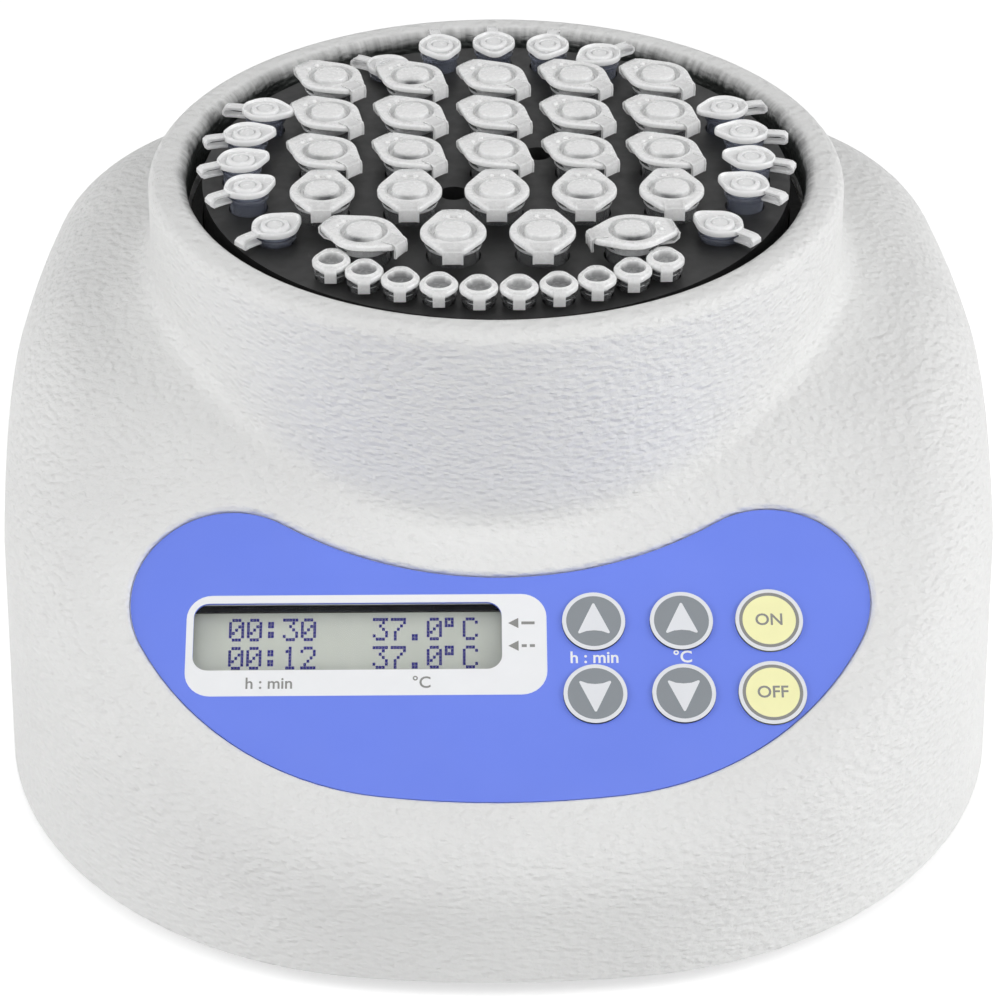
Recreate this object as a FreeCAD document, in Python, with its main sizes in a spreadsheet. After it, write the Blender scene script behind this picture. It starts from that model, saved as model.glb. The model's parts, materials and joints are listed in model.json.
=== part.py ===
"""Dry bath incubator: a bench heater whose round metal block holds sample tubes.

Frame: +Z up, +X to the right, the front faces -Y. The origin is on the bench
under the middle of the footprint. Lengths are millimetres, angles degrees.
"""
import FreeCAD, Part
import math
import os

import Sketcher
from FreeCAD import Placement, Rotation, Vector

DRIVING_SIZES = [
    # Housing
    ("overall_width", 209.2, "housing, side to side at its foot"),
    ("overall_depth", 229.0, "housing, front to back at its foot"),
    ("overall_height", 110.0, "bench to the crest of the collar"),
    ("foot_height", 4.0, "bench to the underside of the housing"),
    ("shell_wall", 2.5, "wall of the moulded housing"),
    ("wall_draft", 2.3, "lean of the outer walls, degrees"),
    ("end_radius", 223.0, "plan radius of the front and back walls"),
    ("side_radius", 457.0, "plan radius of the side walls"),
    ("front_corner_radius", 87.0, "plan radius of the front corners"),
    ("back_corner_radius", 62.0, "plan radius of the back corners"),
    ("deck_level", 89.5, "height of the flat part of the deck"),
    ("deck_slope", 30.0, "slope of the control panel, degrees"),
    ("deck_bend_radius", 80.0, "bend between the panel slope and the flat"),
    ("edge_radius", 18.0, "rounding between the deck and the walls"),
    ("cut_margin", 1.0, "how far a cut runs past the face that it opens"),
    ("panel_datum_y", -49.1, "point of the panel plane at the collar's foot"),
    ("panel_datum_z", 66.8, "height of that point"),
    # Collar round the block
    ("block_axis_y", 24.8, "axis of the collar and of the block"),
    ("collar_mouth_radius", 65.3, "opening of the collar"),
    ("collar_crest_radius", 73.2, "outside of the collar at its crest"),
    ("collar_draft", 1.5, "flare of the collar's outside, degrees"),
    ("collar_lip_radius", 3.2, "rounding outside the crest"),
    ("collar_mouth_rounding", 3.0, "rounding inside the crest"),
    ("collar_root_radius", 4.5, "hollow rounding where the collar meets the deck"),
    ("skirt_bottom", 58.0, "lower end of the skirt inside the collar"),
    # Control panel
    ("recess_depth", 1.6, "depth of the recess for the overlay"),
    ("recess_rounding", 0.9, "rounding of the edge of the recess"),
    ("recess_top_radius", 84.0, "hollow upper edge of the recess"),
    ("recess_front_radius", 200.0, "front edge of the recess"),
    ("recess_corner_radius", 62.0, "front corners of the recess"),
    ("lobe_radius", 19.9, "upper ends of the recess"),
    ("lobe_x", 53.3, "centre of each upper end, from the middle"),
    ("lobe_y", -16.2, "the same, along the slope"),
    ("recess_front_y", -59.2, "middle of the front edge, along the slope"),
    ("overlay_thickness", 0.6, "printed overlay"),
    ("overlay_gap", 0.3, "overlay to the wall of the recess"),
    ("window_x", -30.1, "centre of the display window"),
    ("window_y", -23.8, "the same, along the slope"),
    ("window_width", 60.5, "clear opening of the overlay"),
    ("window_height", 14.4, "the same, along the slope"),
    ("window_corner", 3.0, "corner radius of that opening"),
    ("lens_border", 1.8, "lens beyond the clear opening, each side"),
    ("lens_thickness", 1.5, "clear lens"),
    # Keys
    ("key_column_first", 18.2, "first column of keys"),
    ("key_column_pitch", 17.25, "next columns"),
    ("key_row_first", -21.1, "upper row of keys, along the slope"),
    ("key_row_pitch", 15.5, "to the lower row"),
    ("arrow_key_radius", 5.95, "four arrow keys"),
    ("action_key_radius", 6.4, "start and stop keys"),
    ("key_clearance", 0.3, "key to the edge of its hole"),
    ("key_proud", 0.5, "key face above the overlay"),
    ("key_flange", 0.8, "retaining flange beyond the key"),
    ("key_flange_thickness", 1.2, "that flange"),
    ("key_stem_radius", 2.5, "stem behind a key"),
    ("key_travel", 0.5, "how far a key goes down"),
    ("switch_size", 6.0, "side of a key switch"),
    ("switch_height", 3.5, "case of a key switch"),
    ("switch_button_radius", 1.75, "button of a key switch"),
    ("switch_button_height", 3.0, "button above its case"),
    ("switch_well_depth", 1.2, "hollow of the case that the button sinks into"),
    # Display module
    ("module_gap", 0.3, "display frame to the panel wall"),
    ("lcd_frame_width", 71.2, "metal frame of the display"),
    ("lcd_frame_height", 24.2, "the same, along the slope"),
    ("lcd_frame_wall", 0.8, "sheet of that frame"),
    ("lcd_view_width", 62.3, "opening of that frame"),
    ("lcd_view_height", 13.8, "the same, along the slope"),
    ("lcd_glass_width", 67.0, "display glass"),
    ("lcd_glass_height", 20.0, "the same, along the slope"),
    ("lcd_glass_thickness", 2.0, "display glass"),
    ("backlight_thickness", 2.4, "light guide behind the glass"),
    ("lcd_board_width", 80.0, "display board"),
    ("lcd_board_height", 36.0, "the same, along the slope"),
    ("board_thickness", 1.6, "both boards"),
    ("lcd_hole_inset", 2.5, "hole to the edge of the display board"),
    ("spacer_radius", 2.3, "spacers between the boards"),
    ("header_length", 40.6, "pin header between the boards"),
    ("header_width", 2.5, "that header"),
    # Control board
    ("panel_to_board", 16.0, "panel plane to the front of the control board"),
    ("board_left", -77.0, "left edge of the control board"),
    ("board_right", 71.0, "right edge"),
    ("board_front", -47.0, "front edge, along the slope"),
    ("board_back", -2.0, "back edge"),
    ("board_post_radius", 3.0, "posts that carry the control board"),
    ("board_post_inset", 3.6, "post to the edges of the board"),
    ("small_screw_radius", 1.2, "board screws"),
    ("small_head_radius", 2.3, "their heads"),
    ("small_head_height", 1.6, "their heads"),
    ("small_screw_length", 7.0, "their shanks"),
    ("chip_size", 12.0, "controller chip"),
    ("chip_thickness", 1.8, "controller chip"),
    ("component_pitch", 12.0, "components along the control board"),
    ("capacitor_radius", 4.0, "capacitors"),
    ("capacitor_height", 12.0, "capacitors"),
    ("connector_width", 6.0, "connectors"),
    ("connector_length", 18.0, "connectors"),
    ("connector_height", 6.0, "connectors"),
    ("buzzer_radius", 6.0, "buzzer"),
    ("buzzer_height", 7.0, "buzzer"),
    # Base plate and feet
    ("plate_thickness", 2.5, "base plate"),
    ("plate_gap", 0.3, "base plate to the housing wall"),
    ("plate_lip_height", 3.5, "upright lip of the base plate"),
    ("plate_lip_wall", 2.0, "that lip"),
    ("plate_lip_gap", 0.5, "lip to the housing wall"),
    ("vent_width", 3.0, "vent slots of the base plate"),
    ("vent_length", 30.0, "vent slots, side to side"),
    ("vent_pitch", 7.0, "vent slots"),
    ("foot_radius", 8.0, "rubber feet"),
    ("foot_stem_radius", 2.5, "their stems"),
    ("foot_stem_proud", 1.0, "their stems above the base plate"),
    ("foot_side_inset", 37.0, "feet from the sides of the footprint"),
    ("front_foot_inset", 39.0, "front feet from the front of the footprint"),
    ("back_foot_inset", 31.0, "back feet from the back of the footprint"),
    ("post_side_inset", 23.0, "housing screws from the sides of the footprint"),
    ("front_post_inset", 59.0, "front housing screws from the front of the footprint"),
    ("back_post_inset", 43.0, "back housing screws from the back of the footprint"),
    ("post_radius", 4.5, "housing posts"),
    ("post_bottom", 14.0, "where the posts meet the base plate's bosses"),
    ("screw_radius", 1.5, "housing, pillar and block screws"),
    ("screw_head_radius", 2.8, "their heads"),
    ("screw_head_height", 2.4, "their heads"),
    ("screw_clearance", 0.2, "screw to its hole"),
    ("screw_bite", 10.0, "screw length in what it holds"),
    # Heating stack
    ("block_radius", 62.0, "heating block"),
    ("block_top", 107.0, "top of the block"),
    ("block_thickness", 45.0, "heating block"),
    ("heater_thickness", 1.5, "heater mat"),
    ("clamp_thickness", 2.0, "plate under the heater mat"),
    ("insulation_thickness", 10.0, "insulation disc"),
    ("stack_inset", 1.0, "heater mat and clamp plate inside the block"),
    ("carrier_thickness", 2.0, "steel carrier of the stack"),
    ("carrier_radius", 65.0, "that carrier"),
    ("carrier_ear_radius", 7.0, "its ears on the pillars"),
    ("sleeve_gap", 0.35, "insulation sleeve to the block and to the skirt"),
    ("sleeve_top", 99.0, "upper end of the insulation sleeve"),
    ("pillar_radius", 4.0, "pillars under the carrier"),
    ("pillar_circle", 71.0, "pillars from the block's axis"),
    ("block_screw_offset", 9.0, "block screws from its axis, both ways"),
    ("block_screw_depth", 30.0, "their heads below the block's top"),
    ("probe_radius", 2.0, "temperature probe"),
    ("probe_length", 16.0, "temperature probe"),
    ("probe_depth", 12.0, "probe inside the block"),
    ("cutout_radius", 6.0, "thermal cut-out"),
    ("cutout_height", 5.0, "thermal cut-out"),
    # Wells and tubes
    ("well_clearance", 0.3, "tube to the wall of its well"),
    ("large_pitch", 18.0, "grid of the large wells"),
    ("large_tube_radius", 5.3, "1.5 ml tubes"),
    ("large_tube_straight", 18.0, "their straight part below the block's top"),
    ("large_tube_depth", 37.0, "their tips below the block's top"),
    ("large_tip_radius", 2.0, "their tips"),
    ("large_neck", 4.4, "their rims above the block's top"),
    ("large_cap_radius", 6.65, "their caps"),
    ("large_tab_reach", 8.6, "cap axis to the end of the tab"),
    ("large_tab_half", 1.8, "half the width of the tab"),
    ("large_hinge_reach", 8.1, "cap axis to the fold of the hinge"),
    ("large_hinge_half", 2.7, "half the width of the hinge"),
    ("medium_circle", 53.7, "0.5 ml wells from the block's axis"),
    ("medium_tube_radius", 3.8, "0.5 ml tubes"),
    ("medium_tube_straight", 9.0, "their straight part below the block's top"),
    ("medium_tube_depth", 25.0, "their tips below the block's top"),
    ("medium_tip_radius", 1.3, "their tips"),
    ("medium_neck", 4.2, "their rims above the block's top"),
    ("medium_cap_radius", 4.7, "their caps"),
    ("medium_tab_reach", 5.7, "cap axis to the end of the tab"),
    ("medium_tab_half", 0.7, "half the width of the tab"),
    ("medium_hinge_reach", 8.8, "cap axis to the fold of the hinge"),
    ("medium_hinge_half", 1.2, "half the width of the hinge"),
    ("small_circle", 55.5, "0.2 ml wells from the block's axis"),
    ("small_well_angle", 8.2, "0.2 ml wells, degrees apart"),
    ("small_tube_radius", 3.0, "0.2 ml tubes"),
    ("small_tube_straight", 2.0, "their straight part below the block's top"),
    ("small_tube_depth", 16.0, "their tips below the block's top"),
    ("small_tip_radius", 1.0, "their tips"),
    ("small_neck", 2.6, "their rims above the block's top"),
    ("small_cap_radius", 3.6, "their caps"),
    ("small_tab_reach", 4.4, "cap axis to the end of the tab"),
    ("small_tab_half", 1.1, "half the width of the tab"),
    ("small_hinge_reach", 4.2, "cap axis to the fold of the hinge"),
    ("small_hinge_half", 0.9, "half the width of the hinge"),
    ("tube_rim", 0.5, "rim of a tube beyond its body"),
    ("tube_rim_height", 1.2, "that rim"),
    ("cap_thickness", 1.3, "flange of a cap"),
    ("cap_ring_height", 0.8, "ring on a cap"),
    ("cap_ring_outer_share", 0.78, "outside of that ring, as a share of the cap's radius"),
    ("cap_ring_inner_share", 0.6, "inside of that ring, the same"),
    ("cap_touch_share", 0.3, "where the leaf's sides touch the round flange, the same"),
    ("cap_fold_height", 2.2, "tab and hinge folded down beside the tube"),
    ("cap_fold_thickness", 0.7, "that fold"),
    # Back panel
    ("rear_recess_width", 60.0, "flat recess in the back wall"),
    ("rear_recess_bottom", 13.0, "lower edge of that recess"),
    ("rear_recess_top", 41.0, "upper edge of that recess"),
    ("rear_recess_depth", 4.0, "face of that recess, from the back of the footprint"),
    ("jack_x", 17.0, "power inlet"),
    ("jack_radius", 3.8, "barrel of the inlet"),
    ("jack_flange_radius", 5.6, "its flange"),
    ("jack_flange_thickness", 1.5, "its flange"),
    ("jack_length", 12.0, "its barrel behind the wall's face"),
    ("jack_bore_radius", 2.8, "its socket"),
    ("jack_bore_depth", 9.0, "its socket"),
    ("jack_pin_radius", 1.0, "its centre pin"),
    ("jack_nut_radius", 6.2, "its nut, across the corners"),
    ("jack_nut_thickness", 2.2, "its nut"),
    ("switch_x", -17.0, "power switch"),
    ("rocker_width", 8.0, "rocker, along its pin"),
    ("rocker_half_height", 6.0, "rocker, from its pin to its end"),
    ("rocker_gap", 0.6, "rocker to its frame"),
    ("rocker_tilt", 10.0, "rocker at rest, degrees"),
    ("rocker_pivot_depth", 0.8, "its pin behind the wall's face"),
    ("rocker_pin_radius", 0.9, "its pin"),
    ("rocker_crown", 2.4, "rocker's ends above its pin"),
    ("rocker_dip", 1.6, "rocker's middle above its pin"),
    ("rocker_skirt", 1.0, "rocker's ends below its pin"),
    ("rocker_keel", 2.2, "rocker's middle below its pin"),
    ("blade_length", 7.0, "blades behind the switch"),
    ("blade_width", 4.8, "blades behind the switch"),
    ("blade_thickness", 0.8, "blades behind the switch"),
    ("frame_wall", 1.0, "wall of the switch frame"),
    ("frame_flange", 1.6, "its flange beyond its wall"),
    ("frame_flange_thickness", 1.4, "its flange"),
    ("frame_depth", 13.0, "its case behind the wall's face"),
    ("frame_clearance", 0.3, "its case to the hole in the wall"),
]

# Directions in degrees from +X, turning towards the back: each medium well and the strap of its cap
MEDIUM_ANGLES = [
    (-32.5, -40), (-16.5, -34), (-3.5, -18), (9.5, -6), (22.5, 15), (64, 40), (77, 80), (90, 92),
    (103, 100), (116, 148), (157.5, 168), (170.5, 194), (183.5, 204), (196.5, 212), (212.5, 221),
]
SMALL_WELLS = 10
VENT_ROWS = 7
FRONT_DIRECTION = -90.0

doc = FreeCAD.newDocument("dry_bath_incubator")
sheet = doc.addObject("Spreadsheet::Sheet", "Sizes")


def text_of(value):
    """The expression of a size, or a plain number as text."""
    return value.text if isinstance(value, Size) else repr(float(value))


def joined(left, sign, right, number):
    """A size worked out from two others, with its expression."""
    return Size(number, "(" + text_of(left) + " " + sign + " " + text_of(right) + ")")


class Size(float):
    """A number from the sheet that keeps the expression it comes from."""

    def __new__(cls, number, text):
        made = super().__new__(cls, number)
        made.text = text
        return made

    def __add__(self, other):
        return joined(self, "+", other, float(self) + float(other))

    def __radd__(self, other):
        return joined(other, "+", self, float(other) + float(self))

    def __sub__(self, other):
        return joined(self, "-", other, float(self) - float(other))

    def __rsub__(self, other):
        return joined(other, "-", self, float(other) - float(self))

    def __mul__(self, other):
        return joined(self, "*", other, float(self) * float(other))

    def __rmul__(self, other):
        return joined(other, "*", self, float(other) * float(self))

    def __truediv__(self, other):
        return joined(self, "/", other, float(self) / float(other))

    def __neg__(self):
        return joined(0, "-", self, -float(self))


class Sizes:
    """The sheet's sizes by name, each one a Size."""

    def __getattr__(self, alias):
        return Size(sheet.get(alias), "Sizes." + alias)


def fill_sheet():
    """Write every driving size with its alias and its meaning."""
    for row, (alias, number, meaning) in enumerate(DRIVING_SIZES, start=1):
        sheet.set("A%d" % row, meaning)
        sheet.set("B%d" % row, str(number))
        sheet.setAlias("B%d" % row, alias)
    doc.recompute()


fill_sheet()
S = Sizes()

# Heights of the heating stack, from the top down
BLOCK_BOTTOM = S.block_top - S.block_thickness
HEATER_BOTTOM = BLOCK_BOTTOM - S.heater_thickness
CLAMP_BOTTOM = HEATER_BOTTOM - S.clamp_thickness
INSULATION_BOTTOM = CLAMP_BOTTOM - S.insulation_thickness
CARRIER_BOTTOM = INSULATION_BOTTOM - S.carrier_thickness
PLATE_TOP = S.foot_height + S.plate_thickness

# Levels along the panel's normal, 0 on the panel plane and negative inwards
RECESS_FLOOR = -S.recess_depth
OVERLAY_TOP = RECESS_FLOOR + S.overlay_thickness
PANEL_BACK = RECESS_FLOOR - S.shell_wall
LCD_FRAME_FRONT = PANEL_BACK - S.module_gap
GLASS_BACK = LCD_FRAME_FRONT - S.lcd_frame_wall - S.lcd_glass_thickness
LCD_BOARD_FRONT = GLASS_BACK - S.backlight_thickness
LCD_BOARD_BACK = LCD_BOARD_FRONT - S.board_thickness
BOARD_FRONT = -S.panel_to_board
BOARD_BACK = BOARD_FRONT - S.board_thickness
SWITCH_FRONT = BOARD_FRONT + S.switch_height
SWITCH_BUTTON_FRONT = SWITCH_FRONT + S.switch_button_height

PANEL = Placement(Vector(0, S.panel_datum_y, S.panel_datum_z), Rotation(Vector(1, 0, 0), S.deck_slope))
BLOCK_AXIS = Placement(Vector(0, S.block_axis_y, 0), Rotation())
REAR_MIDDLE = (S.rear_recess_bottom + S.rear_recess_top) / 2
REAR_FACE_Y = S.overall_depth / 2 - S.rear_recess_depth


# Sketches and features

def new_body(label, placement=Placement()):
    """An empty body that becomes one sub-part."""
    body = doc.addObject("PartDesign::Body", label)
    body.Label = label
    body.Placement = placement
    return body


def new_sketch(body, name, role, level):
    """A sketch parallel to one of the body's own planes, at a level above it."""
    plane = next(item for item in body.Origin.OriginFeatures if item.Role == role)
    sketch = body.newObject("Sketcher::SketchObject", body.Name + "_" + name)
    sketch.AttachmentSupport = (plane, [""])
    sketch.MapMode = "FlatFace"
    sketch.setExpression(".AttachmentOffset.Base.z", text_of(level))
    return sketch


def fix_point(sketch, geometry, vertex, x, y):
    """Tie a vertex to the sketch's origin by two sized constraints."""
    for kind, axis, value in (("DistanceX", -2, x), ("DistanceY", -1, y)):
        if abs(float(value)) < 1e-9:
            sketch.addConstraint(Sketcher.Constraint("PointOnObject", geometry, vertex, axis))
        else:
            made = sketch.addConstraint(Sketcher.Constraint(kind, -1, 1, geometry, vertex, float(value)))
            sketch.setExpression("Constraints[%d]" % made, text_of(value))


def add_circle(sketch, x, y, radius):
    """A circle with its centre and radius tied to sizes."""
    circle = sketch.addGeometry(Part.Circle(Vector(x, y, 0), Vector(0, 0, 1), radius))
    made = sketch.addConstraint(Sketcher.Constraint("Radius", circle, float(radius)))
    sketch.setExpression("Constraints[%d]" % made, text_of(radius))
    fix_point(sketch, circle, 3, x, y)


def add_polygon(sketch, points):
    """A closed outline of straight lines, each corner tied to sizes."""
    lines = []
    for index, point in enumerate(points):
        after = points[(index + 1) % len(points)]
        lines.append(sketch.addGeometry(Part.LineSegment(Vector(*point, 0), Vector(*after, 0))))
    for index, line in enumerate(lines):
        after = lines[(index + 1) % len(lines)]
        sketch.addConstraint(Sketcher.Constraint("Coincident", line, 2, after, 1))
        fix_point(sketch, line, 1, *points[index])


def add_rectangle(sketch, x, y, width, height):
    """An upright rectangle about its centre."""
    left, right = x - width / 2, x + width / 2
    bottom, top = y - height / 2, y + height / 2
    add_polygon(sketch, [(left, bottom), (right, bottom), (right, top), (left, top)])


def add_outline(sketch, edges):
    """A closed outline of arcs and lines that follows a computed form."""
    for edge in edges:
        sketch.addGeometry(edge)


def padded(body, name, bottom, top, draw, role="XY_Plane"):
    """Add material between two levels over what draw() puts in a sketch."""
    sketch = new_sketch(body, name + "_outline", role, bottom)
    draw(sketch)
    feature = body.newObject("PartDesign::Pad", body.Name + "_" + name)
    feature.Profile = sketch
    feature.setExpression("Length", text_of(top - bottom))
    body.Tip = feature
    return feature


def pocketed(body, name, top, bottom, draw, role="XY_Plane"):
    """Take material away between two levels over what draw() puts in a sketch."""
    sketch = new_sketch(body, name + "_outline", role, top)
    draw(sketch)
    feature = body.newObject("PartDesign::Pocket", body.Name + "_" + name)
    feature.Profile = sketch
    feature.setExpression("Length", text_of(top - bottom))
    body.Tip = feature
    return feature


def turned(body, name, points, kind="PartDesign::Revolution"):
    """Revolve an outline of (radius, height) points about the body's Z axis."""
    sketch = new_sketch(body, name + "_outline", "XZ_Plane", 0)
    add_polygon(sketch, points)
    feature = body.newObject(kind, body.Name + "_" + name)
    feature.Profile = sketch
    feature.ReferenceAxis = (sketch, ["V_Axis"])
    feature.Angle = 360.0
    body.Tip = feature
    return feature


def circles(places, radius):
    """A drawer of equal circles at the given places."""
    def draw(sketch):
        for x, y in places:
            add_circle(sketch, x, y, radius)
    return draw


def rectangles(places, width, height):
    """A drawer of equal rectangles at the given places."""
    def draw(sketch):
        for x, y in places:
            add_rectangle(sketch, x, y, width, height)
    return draw


def group(label, master, places):
    """Copies of a master shape as the separate solids of one node."""
    made = doc.addObject("Part::Feature", label)
    made.Label = label
    made.Shape = Part.makeCompound([master.transformed(place.toMatrix(), True) for place in places])
    return made


# Outlines made of tangent arcs

def unit(angle):
    """Direction in the plan, from an angle in degrees."""
    return Vector(math.cos(math.radians(angle)), math.sin(math.radians(angle)), 0)


def circle_crossing(centre_a, radius_a, centre_b, radius_b, towards):
    """The crossing of two circles that lies furthest along a direction."""
    line = centre_b - centre_a
    along = (radius_a ** 2 - radius_b ** 2 + line.Length ** 2) / (2 * line.Length)
    across = math.sqrt(radius_a ** 2 - along ** 2)
    line.normalize()
    middle = centre_a + line * along
    side = Vector(-line.y, line.x, 0) * across
    return max(middle + side, middle - side, key=lambda point: point.dot(towards))


def bridging_arc(centre_a, radius_a, centre_b, radius_b, radius, towards):
    """Start, middle and end of an arc that blends two arcs it lies inside or round."""
    centre = circle_crossing(centre_a, abs(radius_a - radius), centre_b, abs(radius_b - radius), towards)
    ends = []
    for arc_centre, arc_radius in ((centre_a, radius_a), (centre_b, radius_b)):
        if arc_radius > radius:
            ends.append(arc_centre + (centre - arc_centre).normalize() * arc_radius)
        else:
            ends.append(centre + (arc_centre - centre).normalize() * radius)
    middle = (ends[0] + ends[1]) * 0.5 - centre
    return ends[0], centre + middle.normalize() * radius, ends[1]


def mirrored(point):
    """The same point on the other side of the middle."""
    return Vector(-point.x, point.y, point.z)


def symmetric_outline(half):
    """Arcs of the right half, from the front middle to the back middle, and their mirror images."""
    arcs = [Part.Arc(*points) for points in half]
    arcs += [Part.Arc(*[mirrored(point) for point in reversed(points)]) for points in reversed(half)]
    return arcs


def housing_outline(height, inset):
    """Plan of the housing walls at a height, moved inwards by inset."""
    lean = (height - S.foot_height) * math.tan(math.radians(S.wall_draft)) + inset
    half_width = float(S.overall_width / 2 - lean)
    half_depth = float(S.overall_depth / 2 - lean)
    end_radius = float(S.end_radius - lean)
    side_radius = float(S.side_radius - lean)
    side_centre = Vector(half_width - side_radius, 0, 0)
    half = []
    for sign, corner in ((-1, S.front_corner_radius), (1, S.back_corner_radius)):
        end_centre = Vector(0, sign * (half_depth - end_radius), 0)
        arc = bridging_arc(end_centre, end_radius, side_centre, side_radius, float(corner - lean),
                           Vector(1, sign, 0))
        half.append((end_centre, arc))
    front, back = half[0][1], half[1][1]
    front_middle = Vector(0, -half_depth, 0)
    back_middle = Vector(0, half_depth, 0)
    side_middle = Vector(half_width, 0, 0)

    def end_arc(sign, corner_point):
        centre = Vector(0, sign * (half_depth - end_radius), 0)
        chord = (Vector(0, sign * half_depth, 0) + corner_point) * 0.5 - centre
        return centre + chord.normalize() * end_radius

    return symmetric_outline([
        (front_middle, end_arc(-1, front[0]), front[0]),
        front,
        (front[2], side_middle, back[2]),
        (back[2], back[1], back[0]),
        (back[0], end_arc(1, back[0]), back_middle),
    ])


def recess_outline(grow):
    """Kidney outline of the panel recess in the panel plane, moved outwards by grow."""
    lobe_radius = float(S.lobe_radius + grow)
    top_radius = float(S.recess_top_radius - grow)
    front_radius = float(S.recess_front_radius + grow)
    corner_radius = float(S.recess_corner_radius + grow)
    lobe_centre = Vector(S.lobe_x, S.lobe_y, 0)
    front_centre = Vector(0, S.recess_front_y + S.recess_front_radius, 0)
    front_middle = front_centre - Vector(0, front_radius, 0)
    corner = bridging_arc(front_centre, front_radius, lobe_centre, lobe_radius, corner_radius,
                          Vector(0, -1, 0))
    # The hollow upper arc touches both lobes from outside
    rise = math.sqrt(float(S.recess_top_radius + S.lobe_radius) ** 2 - float(S.lobe_x) ** 2)
    top_centre = Vector(0, S.lobe_y + rise, 0)
    touch = lobe_centre + (top_centre - lobe_centre).normalize() * lobe_radius
    top_middle = top_centre - Vector(0, top_radius, 0)
    chord = (touch + top_middle) * 0.5 - top_centre
    front_chord = (front_middle + corner[0]) * 0.5 - front_centre
    return symmetric_outline([
        (front_middle, front_centre + front_chord.normalize() * front_radius, corner[0]),
        corner,
        (corner[2], lobe_centre + unit(40) * lobe_radius, touch),
        (touch, top_centre + chord.normalize() * top_radius, top_middle),
    ])


def prism(arcs, bottom, top):
    """A solid over an outline between two heights."""
    wire = Part.Wire([arc.toShape() for arc in arcs])
    wire.translate(Vector(0, 0, bottom))
    return Part.Face(wire).extrude(Vector(0, 0, top - bottom))


# The moulded housing

def deck_profile(inset):
    """Side view of what lies under the deck: the panel slope, its bend and the flat."""
    slope = math.radians(S.deck_slope)
    reach = float(S.overall_depth)
    level = float(S.deck_level) - inset
    datum = Vector(0, S.panel_datum_y, S.panel_datum_z) - Vector(0, -math.sin(slope), math.cos(slope)) * inset
    corner_y = datum.y + (level - datum.z) / math.tan(slope)
    bend = float(S.deck_bend_radius) - inset
    tangent = bend * math.tan(slope / 2)
    bend_start = Vector(0, corner_y - tangent * math.cos(slope), level - tangent * math.sin(slope))
    bend_end = Vector(0, corner_y + tangent, level)
    bend_centre = bend_end - Vector(0, 0, bend)
    halfway = math.pi / 2 + slope / 2
    bend_middle = bend_centre + Vector(0, math.cos(halfway), math.sin(halfway)) * bend
    slope_end = datum + Vector(0, -reach, -reach * math.tan(slope))
    slope_top = datum.z + (slope_end.y - datum.y) * math.tan(slope)
    lowest = min(-reach, slope_top - S.cut_margin)
    front_top = Vector(0, slope_end.y, slope_top)
    front_bottom = Vector(0, slope_end.y, lowest)
    back_bottom = Vector(0, reach, lowest)
    back_top = Vector(0, reach, level)
    edges = [
        Part.LineSegment(front_bottom, front_top),
        Part.LineSegment(front_top, bend_start),
        Part.Arc(bend_start, bend_middle, bend_end),
        Part.LineSegment(bend_end, back_top),
        Part.LineSegment(back_top, back_bottom),
        Part.LineSegment(back_bottom, front_bottom),
    ]
    return Part.Wire([edge.toShape() for edge in edges])


def sharp_edges(shape, lowest):
    """Edges above a height where two faces meet at an angle."""
    found = []
    for edge in shape.Edges:
        if edge.BoundBox.ZMin < lowest:
            continue
        middle = edge.valueAt((edge.FirstParameter + edge.LastParameter) / 2)
        faces = shape.ancestorsOfType(edge, Part.Face)
        normals = [face.normalAt(*face.Surface.parameter(middle)) for face in faces]
        if normals[0].getAngle(normals[1]) > math.radians(20):
            found.append(edge)
    return found


def collar_cone(inset):
    """The collar's outside, flaring downwards, moved inwards by inset."""
    draft = math.radians(S.collar_draft)
    top = float(S.overall_height) - inset
    bottom = float(S.skirt_bottom) - float(S.collar_root_radius)
    crest = float(S.collar_crest_radius) - inset / math.cos(draft)
    radius_at_top = crest + (float(S.overall_height) - top) * math.tan(draft)
    radius_at_bottom = crest + (float(S.overall_height) - bottom) * math.tan(draft)
    return Part.makeCone(radius_at_bottom, radius_at_top, top - bottom, Vector(0, S.block_axis_y, bottom))


def on_collar(edge, lowest, highest):
    """Whether an edge runs round the collar's outside between two heights."""
    box = edge.BoundBox
    if box.ZMin < lowest or box.ZMax > highest:
        return False
    draft = math.tan(math.radians(S.collar_draft))
    for parameter in (edge.FirstParameter, edge.LastParameter,
                      (edge.FirstParameter + edge.LastParameter) / 2):
        point = edge.valueAt(parameter)
        radius = math.hypot(point.x, point.y - S.block_axis_y)
        cone = S.collar_crest_radius + (S.overall_height - point.z) * draft
        if abs(radius - cone) > 0.05:
            return False
    return True


def housing_form(inset):
    """The housing's outside, or with an inset the hollow inside it."""
    bottom = float(S.foot_height) - (1.0 if inset else 0.0)
    top = float(S.overall_height)
    wires = []
    for height in (bottom, top):
        wire = Part.Wire([arc.toShape() for arc in housing_outline(height, inset)])
        wire.translate(Vector(0, 0, height))
        wires.append(wire)
    walls = Part.makeLoft(wires, True, True)
    reach = Vector(2 * S.overall_width, 0, 0)
    under_deck = Part.Face(deck_profile(inset)).extrude(reach).translated(reach * -0.5)
    form = walls.common(under_deck).removeSplitter()
    return form.makeFillet(float(S.edge_radius) - inset, sharp_edges(form, S.foot_height + S.cut_margin))


def disc(radius, bottom, top, x=0.0, y=0.0):
    """A plain upright cylinder."""
    return Part.makeCylinder(radius, top - bottom, Vector(x, y, bottom))


def in_panel(shape):
    """Move a shape from panel coordinates to its place on the slope."""
    return shape.transformed(PANEL.toMatrix())


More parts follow.
